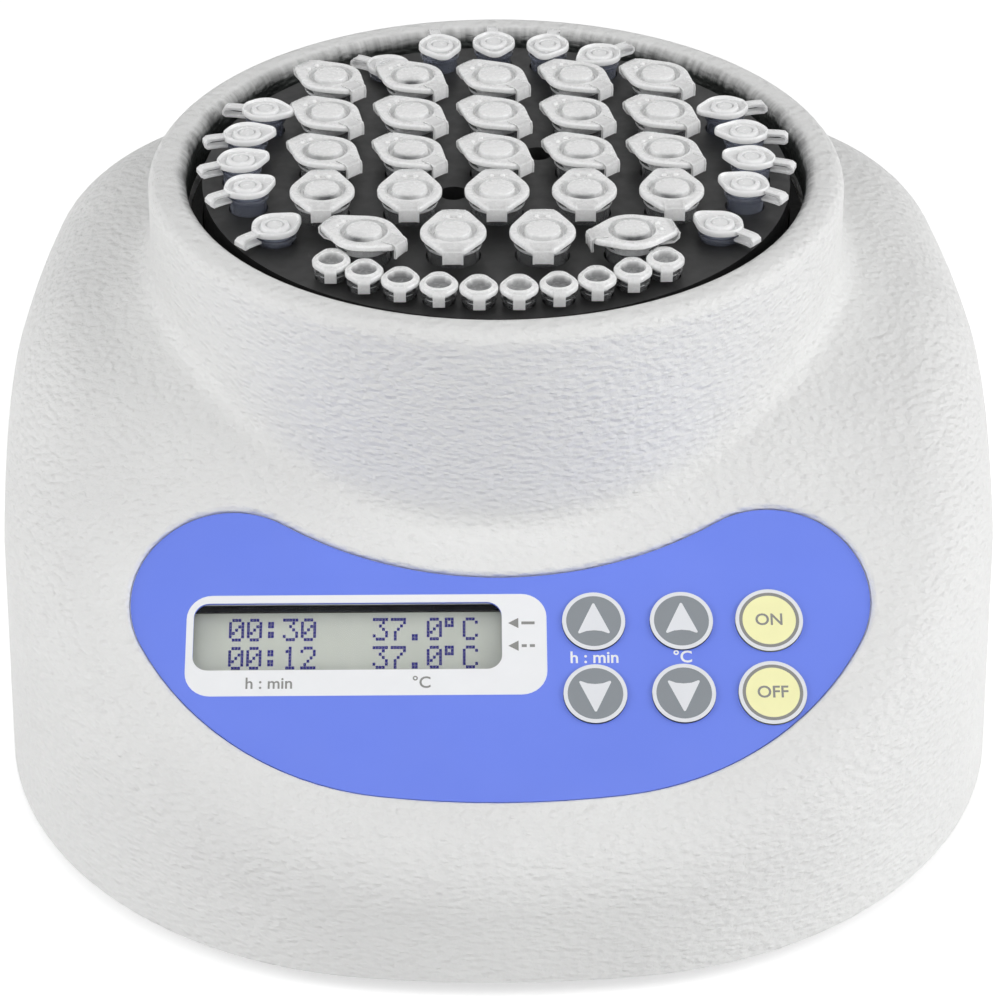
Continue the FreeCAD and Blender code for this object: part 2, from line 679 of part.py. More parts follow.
def rounded_rectangle(x, y, width, height, corner):
    """Outline with rounded corners about a centre."""
    half_w, half_h = float(width) / 2, float(height) / 2
    centre = Vector(x, y, 0)
    edges = []
    for turn, (long_half, short_half) in enumerate(((half_w, half_h), (half_h, half_w)) * 2):
        def point(across, along, turn=turn):
            return centre + Rotation(Vector(0, 0, 1), 90.0 * turn).multVec(Vector(across, along, 0))
        corner_centre = (long_half - corner, short_half - corner)
        diagonal = corner * math.sqrt(0.5)
        edges.append(Part.LineSegment(point(long_half, corner - short_half),
                                      point(long_half, short_half - corner)))
        edges.append(Part.Arc(point(long_half, short_half - corner),
                              point(corner_centre[0] + diagonal, corner_centre[1] + diagonal),
                              point(long_half - corner, short_half)))
    return edges


def key_places():
    """Name, place and radius of each key in the panel plane."""
    columns = [S.key_column_first + S.key_column_pitch * index for index in range(3)]
    rows = [S.key_row_first, S.key_row_first - S.key_row_pitch]
    names = (("time_up", "time_down"), ("temp_up", "temp_down"), ("start", "stop"))
    radii = (S.arrow_key_radius, S.arrow_key_radius, S.action_key_radius)
    return [(names[column][row], columns[column], rows[row], radii[column])
            for column in range(3) for row in range(2)]


def board_posts():
    """Places of the posts that carry the control board."""
    xs = (S.board_left + S.board_post_inset, S.board_right - S.board_post_inset)
    ys = (S.board_front + S.board_post_inset, S.board_back - S.board_post_inset)
    return [(x, y) for x in xs for y in ys]


def housing_posts():
    """Places of the screws that join the housing and the base plate."""
    x = S.overall_width / 2 - S.post_side_inset
    front = S.front_post_inset - S.overall_depth / 2
    back = S.overall_depth / 2 - S.back_post_inset
    return [(side * x, y) for side in (-1, 1) for y in (front, back)]


def foot_places():
    """Places of the rubber feet."""
    x = S.overall_width / 2 - S.foot_side_inset
    front = S.front_foot_inset - S.overall_depth / 2
    back = S.overall_depth / 2 - S.back_foot_inset
    return [(side * x, y) for side in (-1, 1) for y in (front, back)]


def panel_openings():
    """Window, lens seat and key holes, as solids to take out of the panel."""
    lens = rounded_rectangle(S.window_x, S.window_y, S.window_width + 2 * S.lens_border + 2 * S.overlay_gap,
                             S.window_height + 2 * S.lens_border + 2 * S.overlay_gap,
                             float(S.window_corner + S.lens_border + S.overlay_gap))
    window = rounded_rectangle(S.window_x, S.window_y, S.window_width + S.lens_border,
                               S.window_height + S.lens_border, float(S.window_corner))
    tools = [prism(lens, RECESS_FLOOR - S.lens_thickness, 0), prism(window, PANEL_BACK - S.cut_margin, 0)]
    tools += [disc(radius + S.key_clearance, PANEL_BACK - S.cut_margin, 0, x, y)
              for _, x, y, radius in key_places()]
    return tools


def switch_case_size():
    """Outside of the switch frame, along X and along Z."""
    width = S.rocker_width + 2 * S.rocker_gap + 2 * S.frame_wall
    height = 2 * (S.rocker_half_height + S.rocker_gap + S.frame_wall)
    return width, height


def rear_features(outer):
    """The flat recess in the back wall: its backing, and what is cut from it."""
    width = float(S.rear_recess_width)
    height = float(S.rear_recess_top - S.rear_recess_bottom)
    wall = float(S.shell_wall)
    backing = Part.makeBox(width + 2 * wall, wall * 3, height + 2 * wall,
                           Vector(-width / 2 - wall, REAR_FACE_Y - wall, S.rear_recess_bottom - wall))
    recess = Part.makeBox(width, float(S.overall_depth), height,
                          Vector(-width / 2, REAR_FACE_Y, S.rear_recess_bottom))
    case_width, case_height = switch_case_size()
    hole_width = float(case_width + 2 * S.frame_clearance)
    hole_height = float(case_height + 2 * S.frame_clearance)
    switch_hole = Part.makeBox(hole_width, 4 * wall, hole_height,
                               Vector(S.switch_x - hole_width / 2, REAR_FACE_Y - 2 * wall,
                                      REAR_MIDDLE - hole_height / 2))
    jack_hole = Part.makeCylinder(S.jack_radius + S.screw_clearance, 4 * wall,
                                  Vector(S.jack_x, REAR_FACE_Y - 2 * wall, REAR_MIDDLE), Vector(0, 1, 0))
    return backing.common(outer), [recess, switch_hole, jack_hole]


def make_upper_housing():
    """One moulded shell with the collar, the panel recess, the posts and the back recess."""
    wall = float(S.shell_wall)
    axis_y = float(S.block_axis_y)
    crest = float(S.overall_height)
    outer = housing_form(0).fuse(collar_cone(0)).removeSplitter()
    lowest_root = float(S.skirt_bottom)
    root = [edge for edge in outer.Edges if on_collar(edge, lowest_root, crest - S.cut_margin)
            and edge.Curve.TypeId != "Part::GeomLine"]
    outer = outer.makeFillet(float(S.collar_root_radius), root)

    hollow = housing_form(wall).fuse(collar_cone(wall)).removeSplitter()
    shell = outer.cut(hollow)

    skirt = disc(S.collar_mouth_radius + wall, S.skirt_bottom, crest - wall / 2, 0, axis_y)
    pad = in_panel(prism(recess_outline(wall), PANEL_BACK, RECESS_FLOOR + wall / 2)).common(outer)
    posts = [disc(S.post_radius, S.post_bottom, S.deck_level, x, y).common(outer) for x, y in housing_posts()]
    panel_posts = [in_panel(disc(S.board_post_radius, BOARD_FRONT, -wall / 2, x, y)).common(outer)
                   for x, y in board_posts()]
    backing, rear_cuts = rear_features(outer)
    shell = shell.multiFuse([skirt, pad, backing] + posts + panel_posts)

    mouth = disc(S.collar_mouth_radius, 0, crest + S.cut_margin, 0, axis_y)
    screw_hole = float(S.screw_radius + S.screw_clearance)
    pilots = [disc(screw_hole, S.post_bottom - S.cut_margin,
                   S.post_bottom + S.screw_bite + S.cut_margin, x, y)
              for x, y in housing_posts()]
    board_hole = float(S.small_screw_radius + S.screw_clearance)
    board_bite = S.small_screw_length - S.board_thickness + S.screw_clearance
    board_pilots = [in_panel(disc(board_hole, BOARD_FRONT - S.cut_margin, BOARD_FRONT + board_bite, x, y))
                    for x, y in board_posts()]
    shell = shell.cut(Part.makeCompound([mouth] + rear_cuts))
    shell = shell.cut(Part.makeCompound(pilots + board_pilots))

    recess = in_panel(prism(recess_outline(0), RECESS_FLOOR, wall))
    shell = shell.cut(recess)
    shell = shell.cut(in_panel(Part.makeCompound(panel_openings())))
    shell = shell.removeSplitter()
    shell = shell.makeFillet(float(S.recess_rounding), recess_rim(shell))
    shell = shell.makeFillet(float(S.collar_lip_radius), crest_edges(shell, S.collar_crest_radius))
    shell = shell.makeFillet(float(S.collar_mouth_rounding), crest_edges(shell, S.collar_mouth_radius))

    housing = doc.addObject("Part::Feature", "upper_housing")
    housing.Label = "upper_housing"
    housing.Shape = shell
    return housing


def recess_rim(shape):
    """Edges where the recess's wall meets the panel plane."""
    found = []
    back = PANEL.inverse()
    reach_x = float(S.lobe_x + S.lobe_radius) + 1
    for edge in shape.Edges:
        first, last = edge.FirstParameter, edge.LastParameter
        points = [back.multVec(edge.valueAt(value)) for value in (first, (first + last) / 2, last)]
        in_plane = all(abs(point.z) < 0.01 for point in points)
        in_recess = all(abs(point.x) < reach_x and point.y > S.recess_front_y - 1
                        and point.y < S.lobe_y + S.lobe_radius + 1 for point in points)
        if in_plane and in_recess:
            found.append(edge)
    return found


def crest_edges(shape, radius):
    """Edges of a given radius round the block's axis at the collar's crest."""
    found = []
    for edge in shape.Edges:
        if abs(edge.BoundBox.ZMin - S.overall_height) > 0.01 or edge.Curve.TypeId != "Part::GeomCircle":
            continue
        if abs(edge.Curve.Radius - radius) < 0.01:
            found.append(edge)
    return found


# Base plate, feet and housing screws

def make_base_plate():
    """Bottom cover with an upright lip, screw bosses, vents and holes."""
    body = new_body("base_plate")
    floor = float(S.foot_height)

    def outline(inset):
        return housing_outline(floor, float(S.shell_wall + inset))

    def draw_lip(sketch):
        add_outline(sketch, outline(S.plate_lip_gap))
        add_outline(sketch, outline(S.plate_lip_gap + S.plate_lip_wall))

    padded(body, "floor", S.foot_height, PLATE_TOP, lambda sketch: add_outline(sketch, outline(S.plate_gap)))

    padded(body, "lip", PLATE_TOP, PLATE_TOP + S.plate_lip_height, draw_lip)
    padded(body, "bosses", PLATE_TOP, S.post_bottom, circles(housing_posts(), S.post_radius))
    head_hole = S.screw_head_radius + S.screw_clearance
    shank_hole = S.screw_radius + S.screw_clearance
    seat = S.post_bottom - S.plate_thickness
    pocketed(body, "head_holes", seat, S.foot_height, circles(housing_posts(), head_hole))
    pocketed(body, "shank_holes", S.post_bottom, S.foot_height, circles(housing_posts(), shank_hole))
    pocketed(body, "stem_holes", PLATE_TOP, S.foot_height,
             circles(foot_places(), S.foot_stem_radius + S.screw_clearance))
    pocketed(body, "pillar_holes", PLATE_TOP, S.foot_height, circles(pillar_places(), shank_hole))
    vent_rows = [S.block_axis_y + S.vent_pitch * (index - (VENT_ROWS - 1) / 2) for index in range(VENT_ROWS)]
    vent_columns = [side * (S.vent_length / 2 + S.vent_pitch) for side in (-1, 1)]
    pocketed(body, "vents", PLATE_TOP, S.foot_height,
             rectangles([(x, y) for x in vent_columns for y in vent_rows], S.vent_length, S.vent_width))
    return body


def make_rubber_feet():
    """Four feet, each with a stem pressed through the base plate."""
    body = new_body("rubber_feet")
    padded(body, "pads", 0, S.foot_height, circles(foot_places(), S.foot_radius))
    padded(body, "stems", S.foot_height, PLATE_TOP + S.foot_stem_proud,
           circles(foot_places(), S.foot_stem_radius))
    return body


def make_screws(label, places, head_level, head_side, tip_level, radius, head_radius, head_height,
                placement=Placement()):
    """Pan-head screws of one length; head_side is -1 for a head below its level, 1 above."""
    body = new_body(label, placement)
    head_end = head_level + head_side * head_height
    low, high = (head_end, head_level) if head_side < 0 else (head_level, head_end)
    padded(body, "heads", low, high, circles(places, head_radius))
    low, high = (head_level, tip_level) if head_side < 0 else (tip_level, head_level)
    padded(body, "shanks", low, high, circles(places, radius))
    return body


# Control panel

def make_panel_overlay():
    """Printed sheet in the recess, with the window and the key holes."""
    body = new_body("panel_overlay", PANEL)

    def draw(sketch):
        add_outline(sketch, recess_outline(-S.overlay_gap))
        add_outline(sketch, rounded_rectangle(S.window_x, S.window_y, S.window_width, S.window_height,
                                              float(S.window_corner)))
        for _, x, y, radius in key_places():
            add_circle(sketch, x, y, radius + S.key_clearance)

    padded(body, "sheet", RECESS_FLOOR, OVERLAY_TOP, draw)
    return body


def make_display_window():
    """Clear lens in its seat behind the overlay."""
    body = new_body("display_window", PANEL)
    outline = rounded_rectangle(S.window_x, S.window_y, S.window_width + 2 * S.lens_border,
                                S.window_height + 2 * S.lens_border, float(S.window_corner + S.lens_border))
    padded(body, "lens", RECESS_FLOOR - S.lens_thickness, RECESS_FLOOR,
           lambda sketch: add_outline(sketch, outline))
    return body


def make_key(name, x, y, radius):
    """A push key: a domed face, a retaining flange behind the panel and a stem."""
    place = PANEL.multiply(Placement(Vector(x, y, 0), Rotation()))
    body = new_body(name + "_key", place)
    face = OVERLAY_TOP + S.key_proud
    flange_top = PANEL_BACK - S.key_clearance
    flange_bottom = flange_top - S.key_flange_thickness
    turned(body, "form", [
        (0, face),
        (radius - S.key_proud, face),
        (radius, OVERLAY_TOP),
        (radius, flange_top),
        (radius + S.key_flange, flange_top),
        (radius + S.key_flange, flange_bottom),
        (S.key_stem_radius, flange_bottom),
        (S.key_stem_radius, SWITCH_BUTTON_FRONT),
        (0, SWITCH_BUTTON_FRONT),
    ])
    return body


def make_switch_button(name, x, y):
    """The sprung button of a key switch, which the key's stem rests on."""
    place = PANEL.multiply(Placement(Vector(x, y, 0), Rotation()))
    body = new_body(name + "_switch_button", place)
    centre = [(0, 0)]
    padded(body, "button", SWITCH_FRONT - S.key_travel, SWITCH_BUTTON_FRONT,
           circles(centre, S.switch_button_radius))
    return body


def make_key_switches():
    """Six switch cases on the control board."""
    body = new_body("key_switches", PANEL)
    places = [(x, y) for _, x, y, _ in key_places()]
    padded(body, "cases", BOARD_FRONT, SWITCH_FRONT, rectangles(places, S.switch_size, S.switch_size))
    pocketed(body, "wells", SWITCH_FRONT, SWITCH_FRONT - S.switch_well_depth,
             circles(places, S.switch_button_radius + S.key_clearance))
    return body


def window_plate(label, front, back, width, height):
    """A flat piece of the display, centred on the window."""
    body = new_body(label, PANEL)
    padded(body, "plate", back, front, rectangles([(S.window_x, S.window_y)], width, height))
    return body


def make_lcd_frame():
    """Metal frame round the display glass, open at the back."""
    body = window_plate("lcd_frame", LCD_FRAME_FRONT, LCD_BOARD_FRONT, S.lcd_frame_width, S.lcd_frame_height)
    centre = [(S.window_x, S.window_y)]
    pocketed(body, "cavity", LCD_FRAME_FRONT - S.lcd_frame_wall, LCD_BOARD_FRONT,
             rectangles(centre, S.lcd_frame_width - 2 * S.lcd_frame_wall,
                        S.lcd_frame_height - 2 * S.lcd_frame_wall))
    pocketed(body, "window", LCD_FRAME_FRONT, LCD_FRAME_FRONT - S.lcd_frame_wall,
             rectangles(centre, S.lcd_view_width, S.lcd_view_height))
    return body


def lcd_holes():
    """Places of the holes at the corners of the display board."""
    half_width = S.lcd_board_width / 2 - S.lcd_hole_inset
    half_height = S.lcd_board_height / 2 - S.lcd_hole_inset
    return [(S.window_x + right * half_width, S.window_y + up * half_height)
            for right in (-1, 1) for up in (-1, 1)]


def make_display():
    """Frame, glass, backlight, board, spacers and header of the display."""
    make_lcd_frame()
    window_plate("lcd_glass", LCD_FRAME_FRONT - S.lcd_frame_wall, GLASS_BACK, S.lcd_glass_width,
                 S.lcd_glass_height)
    window_plate("lcd_backlight", GLASS_BACK, LCD_BOARD_FRONT, S.lcd_glass_width, S.lcd_glass_height)
    board = window_plate("lcd_board", LCD_BOARD_FRONT, LCD_BOARD_BACK, S.lcd_board_width, S.lcd_board_height)
    pocketed(board, "holes", LCD_BOARD_FRONT, LCD_BOARD_BACK, circles(lcd_holes(), S.small_screw_radius))
    spacers = new_body("lcd_spacers", PANEL)
    padded(spacers, "posts", BOARD_FRONT, LCD_BOARD_BACK, circles(lcd_holes(), S.spacer_radius))
    header = new_body("lcd_header", PANEL)
    header_y = S.window_y + S.lcd_board_height / 2 - S.header_width
    padded(header, "strip", BOARD_FRONT, LCD_BOARD_BACK,
           rectangles([(S.window_x, header_y)], S.header_length, S.header_width))


def make_control_board():
    """Board behind the panel with its screws, its chip and its larger components."""
    body = new_body("control_board", PANEL)
    width = S.board_right - S.board_left
    height = S.board_back - S.board_front
    centre = (S.board_left + width / 2, S.board_front + height / 2)
    padded(body, "board", BOARD_BACK, BOARD_FRONT, rectangles([centre], width, height))
    pocketed(body, "holes", BOARD_FRONT, BOARD_BACK,
             circles(board_posts(), S.small_screw_radius + S.screw_clearance))
    make_screws("board_screws", board_posts(), BOARD_BACK, -1, BOARD_BACK + S.small_screw_length,
                S.small_screw_radius, S.small_head_radius, S.small_head_height, PANEL)
    chip = new_body("controller_chip", PANEL)
    padded(chip, "case", BOARD_BACK - S.chip_thickness, BOARD_BACK,
           rectangles([(S.window_x, centre[1])], S.chip_size, S.chip_size))

    def along(steps):
        return [(S.window_x + S.component_pitch * step, centre[1]) for step in steps]

    parts = new_body("board_components", PANEL)
    padded(parts, "capacitors", BOARD_BACK - S.capacitor_height, BOARD_BACK,
           circles(along((2, 3)), S.capacitor_radius))
    padded(parts, "connectors", BOARD_BACK - S.connector_height, BOARD_BACK,
           rectangles(along((-2, 5)), S.connector_width, S.connector_length))
    buzzer = new_body("buzzer", PANEL)
    padded(buzzer, "case", BOARD_BACK - S.buzzer_height, BOARD_BACK, circles(along((6.5,)), S.buzzer_radius))


# Heating stack

def pillar_places():
    """Places of the pillars under the carrier, in the plan."""
    directions = [unit(angle) for angle in (45, 135, 225, 315)]
    return [(S.pillar_circle * way.x, S.block_axis_y + S.pillar_circle * way.y) for way in directions]


def block_screw_places():
    """Places of the two screws in the block, from its axis."""
    return [(side * S.block_screw_offset, side * S.block_screw_offset) for side in (-1, 1)]


def probe_place():
    """Place of the temperature probe, from the block's axis."""
    return [(S.block_screw_offset, -S.block_screw_offset)]


def large_wells():
    """Places of the large wells from the block's axis, and the turn of each tube's cap."""
    places = []
    for row, turn in ((2, -45), (1, -45), (0, -45), (-1, -90)):
        for column in (-2, -1, 0, 1, 2):
            places.append((column * S.large_pitch, row * S.large_pitch, turn))
    for column, turn in ((-1.5, -32), (-0.5, -90), (0.5, -90), (1.5, 193)):
        places.append((column * S.large_pitch, -2 * S.large_pitch, turn))
    return places


def medium_wells():
    """Places of the medium wells, and the turn of each tube's cap."""
    return [(S.medium_circle * unit(angle).x, S.medium_circle * unit(angle).y, strap + 180)
            for angle, strap in MEDIUM_ANGLES]


def small_wells():
    """Places of the small wells along the front, with each tab towards the front."""
    places = []
    for index in range(SMALL_WELLS):
        angle = float(S.small_well_angle) * (index - (SMALL_WELLS - 1) / 2) + FRONT_DIRECTION
        places.append((S.small_circle * unit(angle).x, S.small_circle * unit(angle).y, FRONT_DIRECTION))
    return places


TUBE_KINDS = {
    "large": (large_wells, S.large_tube_radius, S.large_tube_straight, S.large_tube_depth,
              S.large_tip_radius, S.large_neck),
    "medium": (medium_wells, S.medium_tube_radius, S.medium_tube_straight, S.medium_tube_depth,
               S.medium_tip_radius, S.medium_neck),
    "small": (small_wells, S.small_tube_radius, S.small_tube_straight, S.small_tube_depth,
              S.small_tip_radius, S.small_neck),
}
CAP_FORMS = {
    "large": (S.large_cap_radius, S.large_tab_reach, S.large_tab_half, S.large_hinge_reach,
              S.large_hinge_half),
    "medium": (S.medium_cap_radius, S.medium_tab_reach, S.medium_tab_half, S.medium_hinge_reach,
               S.medium_hinge_half),
    "small": (S.small_cap_radius, S.small_tab_reach, S.small_tab_half, S.small_hinge_reach,
              S.small_hinge_half),
}


def well_tool(kind):
    """A well with a straight mouth and a tapered end, its top on the block's top."""
    _, radius, straight, depth, tip, _ = TUBE_KINDS[kind]
    gap = S.well_clearance
    mouth = Part.makeCylinder(radius + gap, straight + S.cut_margin, Vector(0, 0, -straight))
    taper = Part.makeCone(tip + gap, radius + gap, depth + gap - straight, Vector(0, 0, -depth - gap))
    return mouth.fuse(taper)


def make_heating_block():
    """Round aluminium block with the wells, the screw holes and the probe's hole."""
    body = doc.addObject("Part::Cylinder", "block_blank")
    body.setExpression("Radius", text_of(S.block_radius))
    body.setExpression("Height", text_of(S.block_thickness))
    wells = doc.addObject("Part::Feature", "block_wells")
    top = S.block_thickness
    tools = []
    for kind, (places, *_) in TUBE_KINDS.items():
        tool = well_tool(kind)
        tools += [tool.translated(Vector(x, y, top)) for x, y, _ in places()]
    head_hole = float(S.screw_head_radius + S.screw_clearance)
    shank_hole = float(S.screw_radius + S.screw_clearance)
    for x, y in block_screw_places():
        tools.append(disc(head_hole, top - S.block_screw_depth, top + S.cut_margin, x, y))
        tools.append(disc(shank_hole, -S.cut_margin, top, x, y))
    for x, y in probe_place():
        tools.append(disc(S.probe_radius + S.screw_clearance, -S.cut_margin,
                          S.probe_depth + S.screw_clearance, x, y))
    wells.Shape = Part.makeCompound(tools)
    block = doc.addObject("Part::Cut", "heating_block")
    block.Base = body
    block.Tool = wells
    block.Label = "heating_block"
    block.Placement = Placement(Vector(0, S.block_axis_y, BLOCK_BOTTOM), Rotation())
    return block


def stack_disc(label, bottom, top, radius):
    """A round layer of the heating stack with holes for the block screws and the probe."""
    body = new_body(label, BLOCK_AXIS)
    padded(body, "disc", bottom, top, circles([(0, 0)], radius))
    shank_hole = S.screw_radius + S.screw_clearance
    pocketed(body, "screw_holes", top, bottom, circles(block_screw_places(), shank_hole))
    return body


def make_heating_stack():
    """Heater mat, clamp plate, insulation, sleeve, carrier, pillars, screws and sensors."""
    inner = S.block_radius - S.stack_inset
    probe_hole = S.probe_radius + S.screw_clearance
    for label, bottom, top in (("heater_mat", HEATER_BOTTOM, BLOCK_BOTTOM),
                               ("clamp_plate", CLAMP_BOTTOM, HEATER_BOTTOM)):
        layer = stack_disc(label, bottom, top, inner)
        pocketed(layer, "probe_hole", top, bottom, circles(probe_place(), probe_hole))
    insulation = stack_disc("insulation_disc", INSULATION_BOTTOM, CLAMP_BOTTOM, S.block_radius)
    pocketed(insulation, "probe_hole", CLAMP_BOTTOM, INSULATION_BOTTOM, circles(probe_place(), probe_hole))
    cutout_place = [(-2 * S.block_screw_offset, S.block_screw_offset)]
    pocketed(insulation, "cutout_hole", CLAMP_BOTTOM, CLAMP_BOTTOM - S.cutout_height - S.screw_clearance,
             circles(cutout_place, S.cutout_radius + S.screw_clearance))
    cutout = new_body("thermal_cutout", BLOCK_AXIS)
    padded(cutout, "case", CLAMP_BOTTOM - S.cutout_height, CLAMP_BOTTOM,
           circles(cutout_place, S.cutout_radius))
    probe = new_body("sensor_probe", BLOCK_AXIS)
    probe_tip = BLOCK_BOTTOM + S.probe_depth
    padded(probe, "rod", probe_tip - S.probe_length - S.clamp_thickness, probe_tip,
           circles(probe_place(), S.probe_radius))

    sleeve = new_body("insulation_sleeve", BLOCK_AXIS)

    def draw_ring(sketch):
        add_circle(sketch, 0, 0, S.block_radius + S.sleeve_gap)
        add_circle(sketch, 0, 0, S.collar_mouth_radius - S.sleeve_gap)

    padded(sleeve, "ring", INSULATION_BOTTOM, S.sleeve_top, draw_ring)

    carrier = new_body("block_carrier")
    padded(carrier, "disc", CARRIER_BOTTOM, INSULATION_BOTTOM,
           circles([(0, S.block_axis_y)], S.carrier_radius))
    padded(carrier, "ears", CARRIER_BOTTOM, INSULATION_BOTTOM, circles(pillar_places(), S.carrier_ear_radius))
    shank_hole = S.screw_radius + S.screw_clearance
    pocketed(carrier, "pillar_holes", INSULATION_BOTTOM, CARRIER_BOTTOM, circles(pillar_places(), shank_hole))
    block_screws = [(x, y + S.block_axis_y) for x, y in block_screw_places()]
    pocketed(carrier, "screw_holes", INSULATION_BOTTOM, CARRIER_BOTTOM, circles(block_screws, shank_hole))

    pillars = new_body("block_pillars")
    padded(pillars, "columns", PLATE_TOP, CARRIER_BOTTOM, circles(pillar_places(), S.pillar_radius))
    pocketed(pillars, "top_holes", CARRIER_BOTTOM, CARRIER_BOTTOM - S.screw_bite - S.cut_margin,
             circles(pillar_places(), shank_hole))
    pocketed(pillars, "bottom_holes", PLATE_TOP + S.screw_bite + S.cut_margin, PLATE_TOP,
             circles(pillar_places(), shank_hole))

    make_screws("pillar_screws", pillar_places(), INSULATION_BOTTOM, 1, CARRIER_BOTTOM - S.screw_bite,
                S.screw_radius, S.screw_head_radius, S.screw_head_height)
    make_screws("plate_screws", pillar_places(), S.foot_height, -1, PLATE_TOP + S.screw_bite,
                S.screw_radius, S.screw_head_radius, S.screw_head_height)
    make_screws("block_screws", block_screw_places(), S.block_top - S.block_screw_depth, 1, CARRIER_BOTTOM,
                S.screw_radius, S.screw_head_radius, S.screw_head_height, BLOCK_AXIS)


# Tubes and their caps

def well_places(kind):
    """Placement of each tube of a kind: its well, and the turn of its cap."""
    return [Placement(Vector(x, y + S.block_axis_y, S.block_top), Rotation(Vector(0, 0, 1), turn))
            for x, y, turn in TUBE_KINDS[kind][0]()]


def tube_master(kind):
    """A tube: straight body, tapered end and a small rim under its cap."""
    _, radius, straight, depth, tip, neck = TUBE_KINDS[kind]
    rim = radius + S.tube_rim
    points = [(0, -depth), (tip, -depth), (radius, -straight), (radius, neck - S.tube_rim_height),
              (rim, neck - S.tube_rim_height), (rim, neck), (0, neck)]
    return revolved_solid(points)


def revolved_solid(points):
    """Solid of revolution about Z from (radius, height) points."""
    wire = Part.makePolygon([Vector(x, 0, z) for x, z in points + points[:1]])
    return Part.Face(wire).revolve(Vector(0, 0, 0), Vector(0, 0, 1), 360)


def cap_master(kind):
    """A cap: a flange with a tab and a hinge, and a raised ring round a dished centre.

    The tab points along +X and the hinge along -X.
    """
    radius, tab_reach, tab_half, hinge_reach, hinge_half = CAP_FORMS[kind]
    low = float(TUBE_KINDS[kind][-1])
    high = low + float(S.cap_thickness)
    ring = high + float(S.cap_ring_height)
    outer = S.cap_ring_outer_share * radius
    inner = S.cap_ring_inner_share * radius
    disc_form = revolved_solid([(0, low), (radius, low), (radius, high), (outer, high), (outer, ring),
                                (inner, ring), (inner, high), (0, high)])
    touch_x = S.cap_touch_share * radius
    touch_y = math.sqrt(radius ** 2 - touch_x ** 2)
    leaf = [(tab_reach, tab_half), (touch_x, touch_y), (-touch_x, touch_y), (-hinge_reach, hinge_half)]
    leaf += [(x, -y) for x, y in reversed(leaf)]
    wire = Part.makePolygon([Vector(x, y, low) for x, y in leaf + leaf[:1]])
    flange = Part.Face(wire).extrude(Vector(0, 0, high - low))
    fold = float(S.cap_fold_thickness)
    drop = float(S.cap_fold_height)
    tab = Part.makeBox(fold, 2 * tab_half, drop, Vector(tab_reach - fold, -tab_half, low - drop))
    hinge = Part.makeBox(fold, 2 * hinge_half, drop, Vector(-hinge_reach, -hinge_half, low - drop))
    return disc_form.multiFuse([flange, tab, hinge]).removeSplitter()


def make_tubes():
    """Tubes and caps of the three kinds, each kind one node of separate solids."""
    for kind in TUBE_KINDS:
        group(kind + "_tubes", tube_master(kind), well_places(kind))
        group(kind + "_tube_caps", cap_master(kind), well_places(kind))


# Back panel: power inlet and power switch

def rear_placement(x):
    """Local Z points out of the back wall and local Y points up."""
    return Placement(Vector(x, REAR_FACE_Y, REAR_MIDDLE), Rotation(Vector(-1, 0, 0), Vector(0, 0, 1),
                                                                     Vector(0, 1, 0), "ZXY"))


def make_power_inlet():
    """Round socket with a centre pin, clamped by a nut inside."""
    place = rear_placement(S.jack_x)
    body = new_body("dc_power_jack", place)
    centre = [(0, 0)]
    padded(body, "barrel", -S.jack_length, 0, circles(centre, S.jack_radius))
    padded(body, "flange", 0, S.jack_flange_thickness, circles(centre, S.jack_flange_radius))

    def draw_socket(sketch):
        add_circle(sketch, 0, 0, S.jack_bore_radius)
        add_circle(sketch, 0, 0, S.jack_pin_radius)

    socket_floor = S.jack_flange_thickness - S.jack_bore_depth
    pocketed(body, "socket", S.jack_flange_thickness, socket_floor, draw_socket)

    nut = new_body("jack_nut", place)
    corners = [(S.jack_nut_radius * unit(60 * index).x, S.jack_nut_radius * unit(60 * index).y)
               for index in range(6)]

    def draw_nut(sketch):
        add_polygon(sketch, corners)
        add_circle(sketch, 0, 0, S.jack_radius + S.screw_clearance)

    padded(nut, "hexagon", -S.shell_wall - S.jack_nut_thickness, -S.shell_wall, draw_nut)


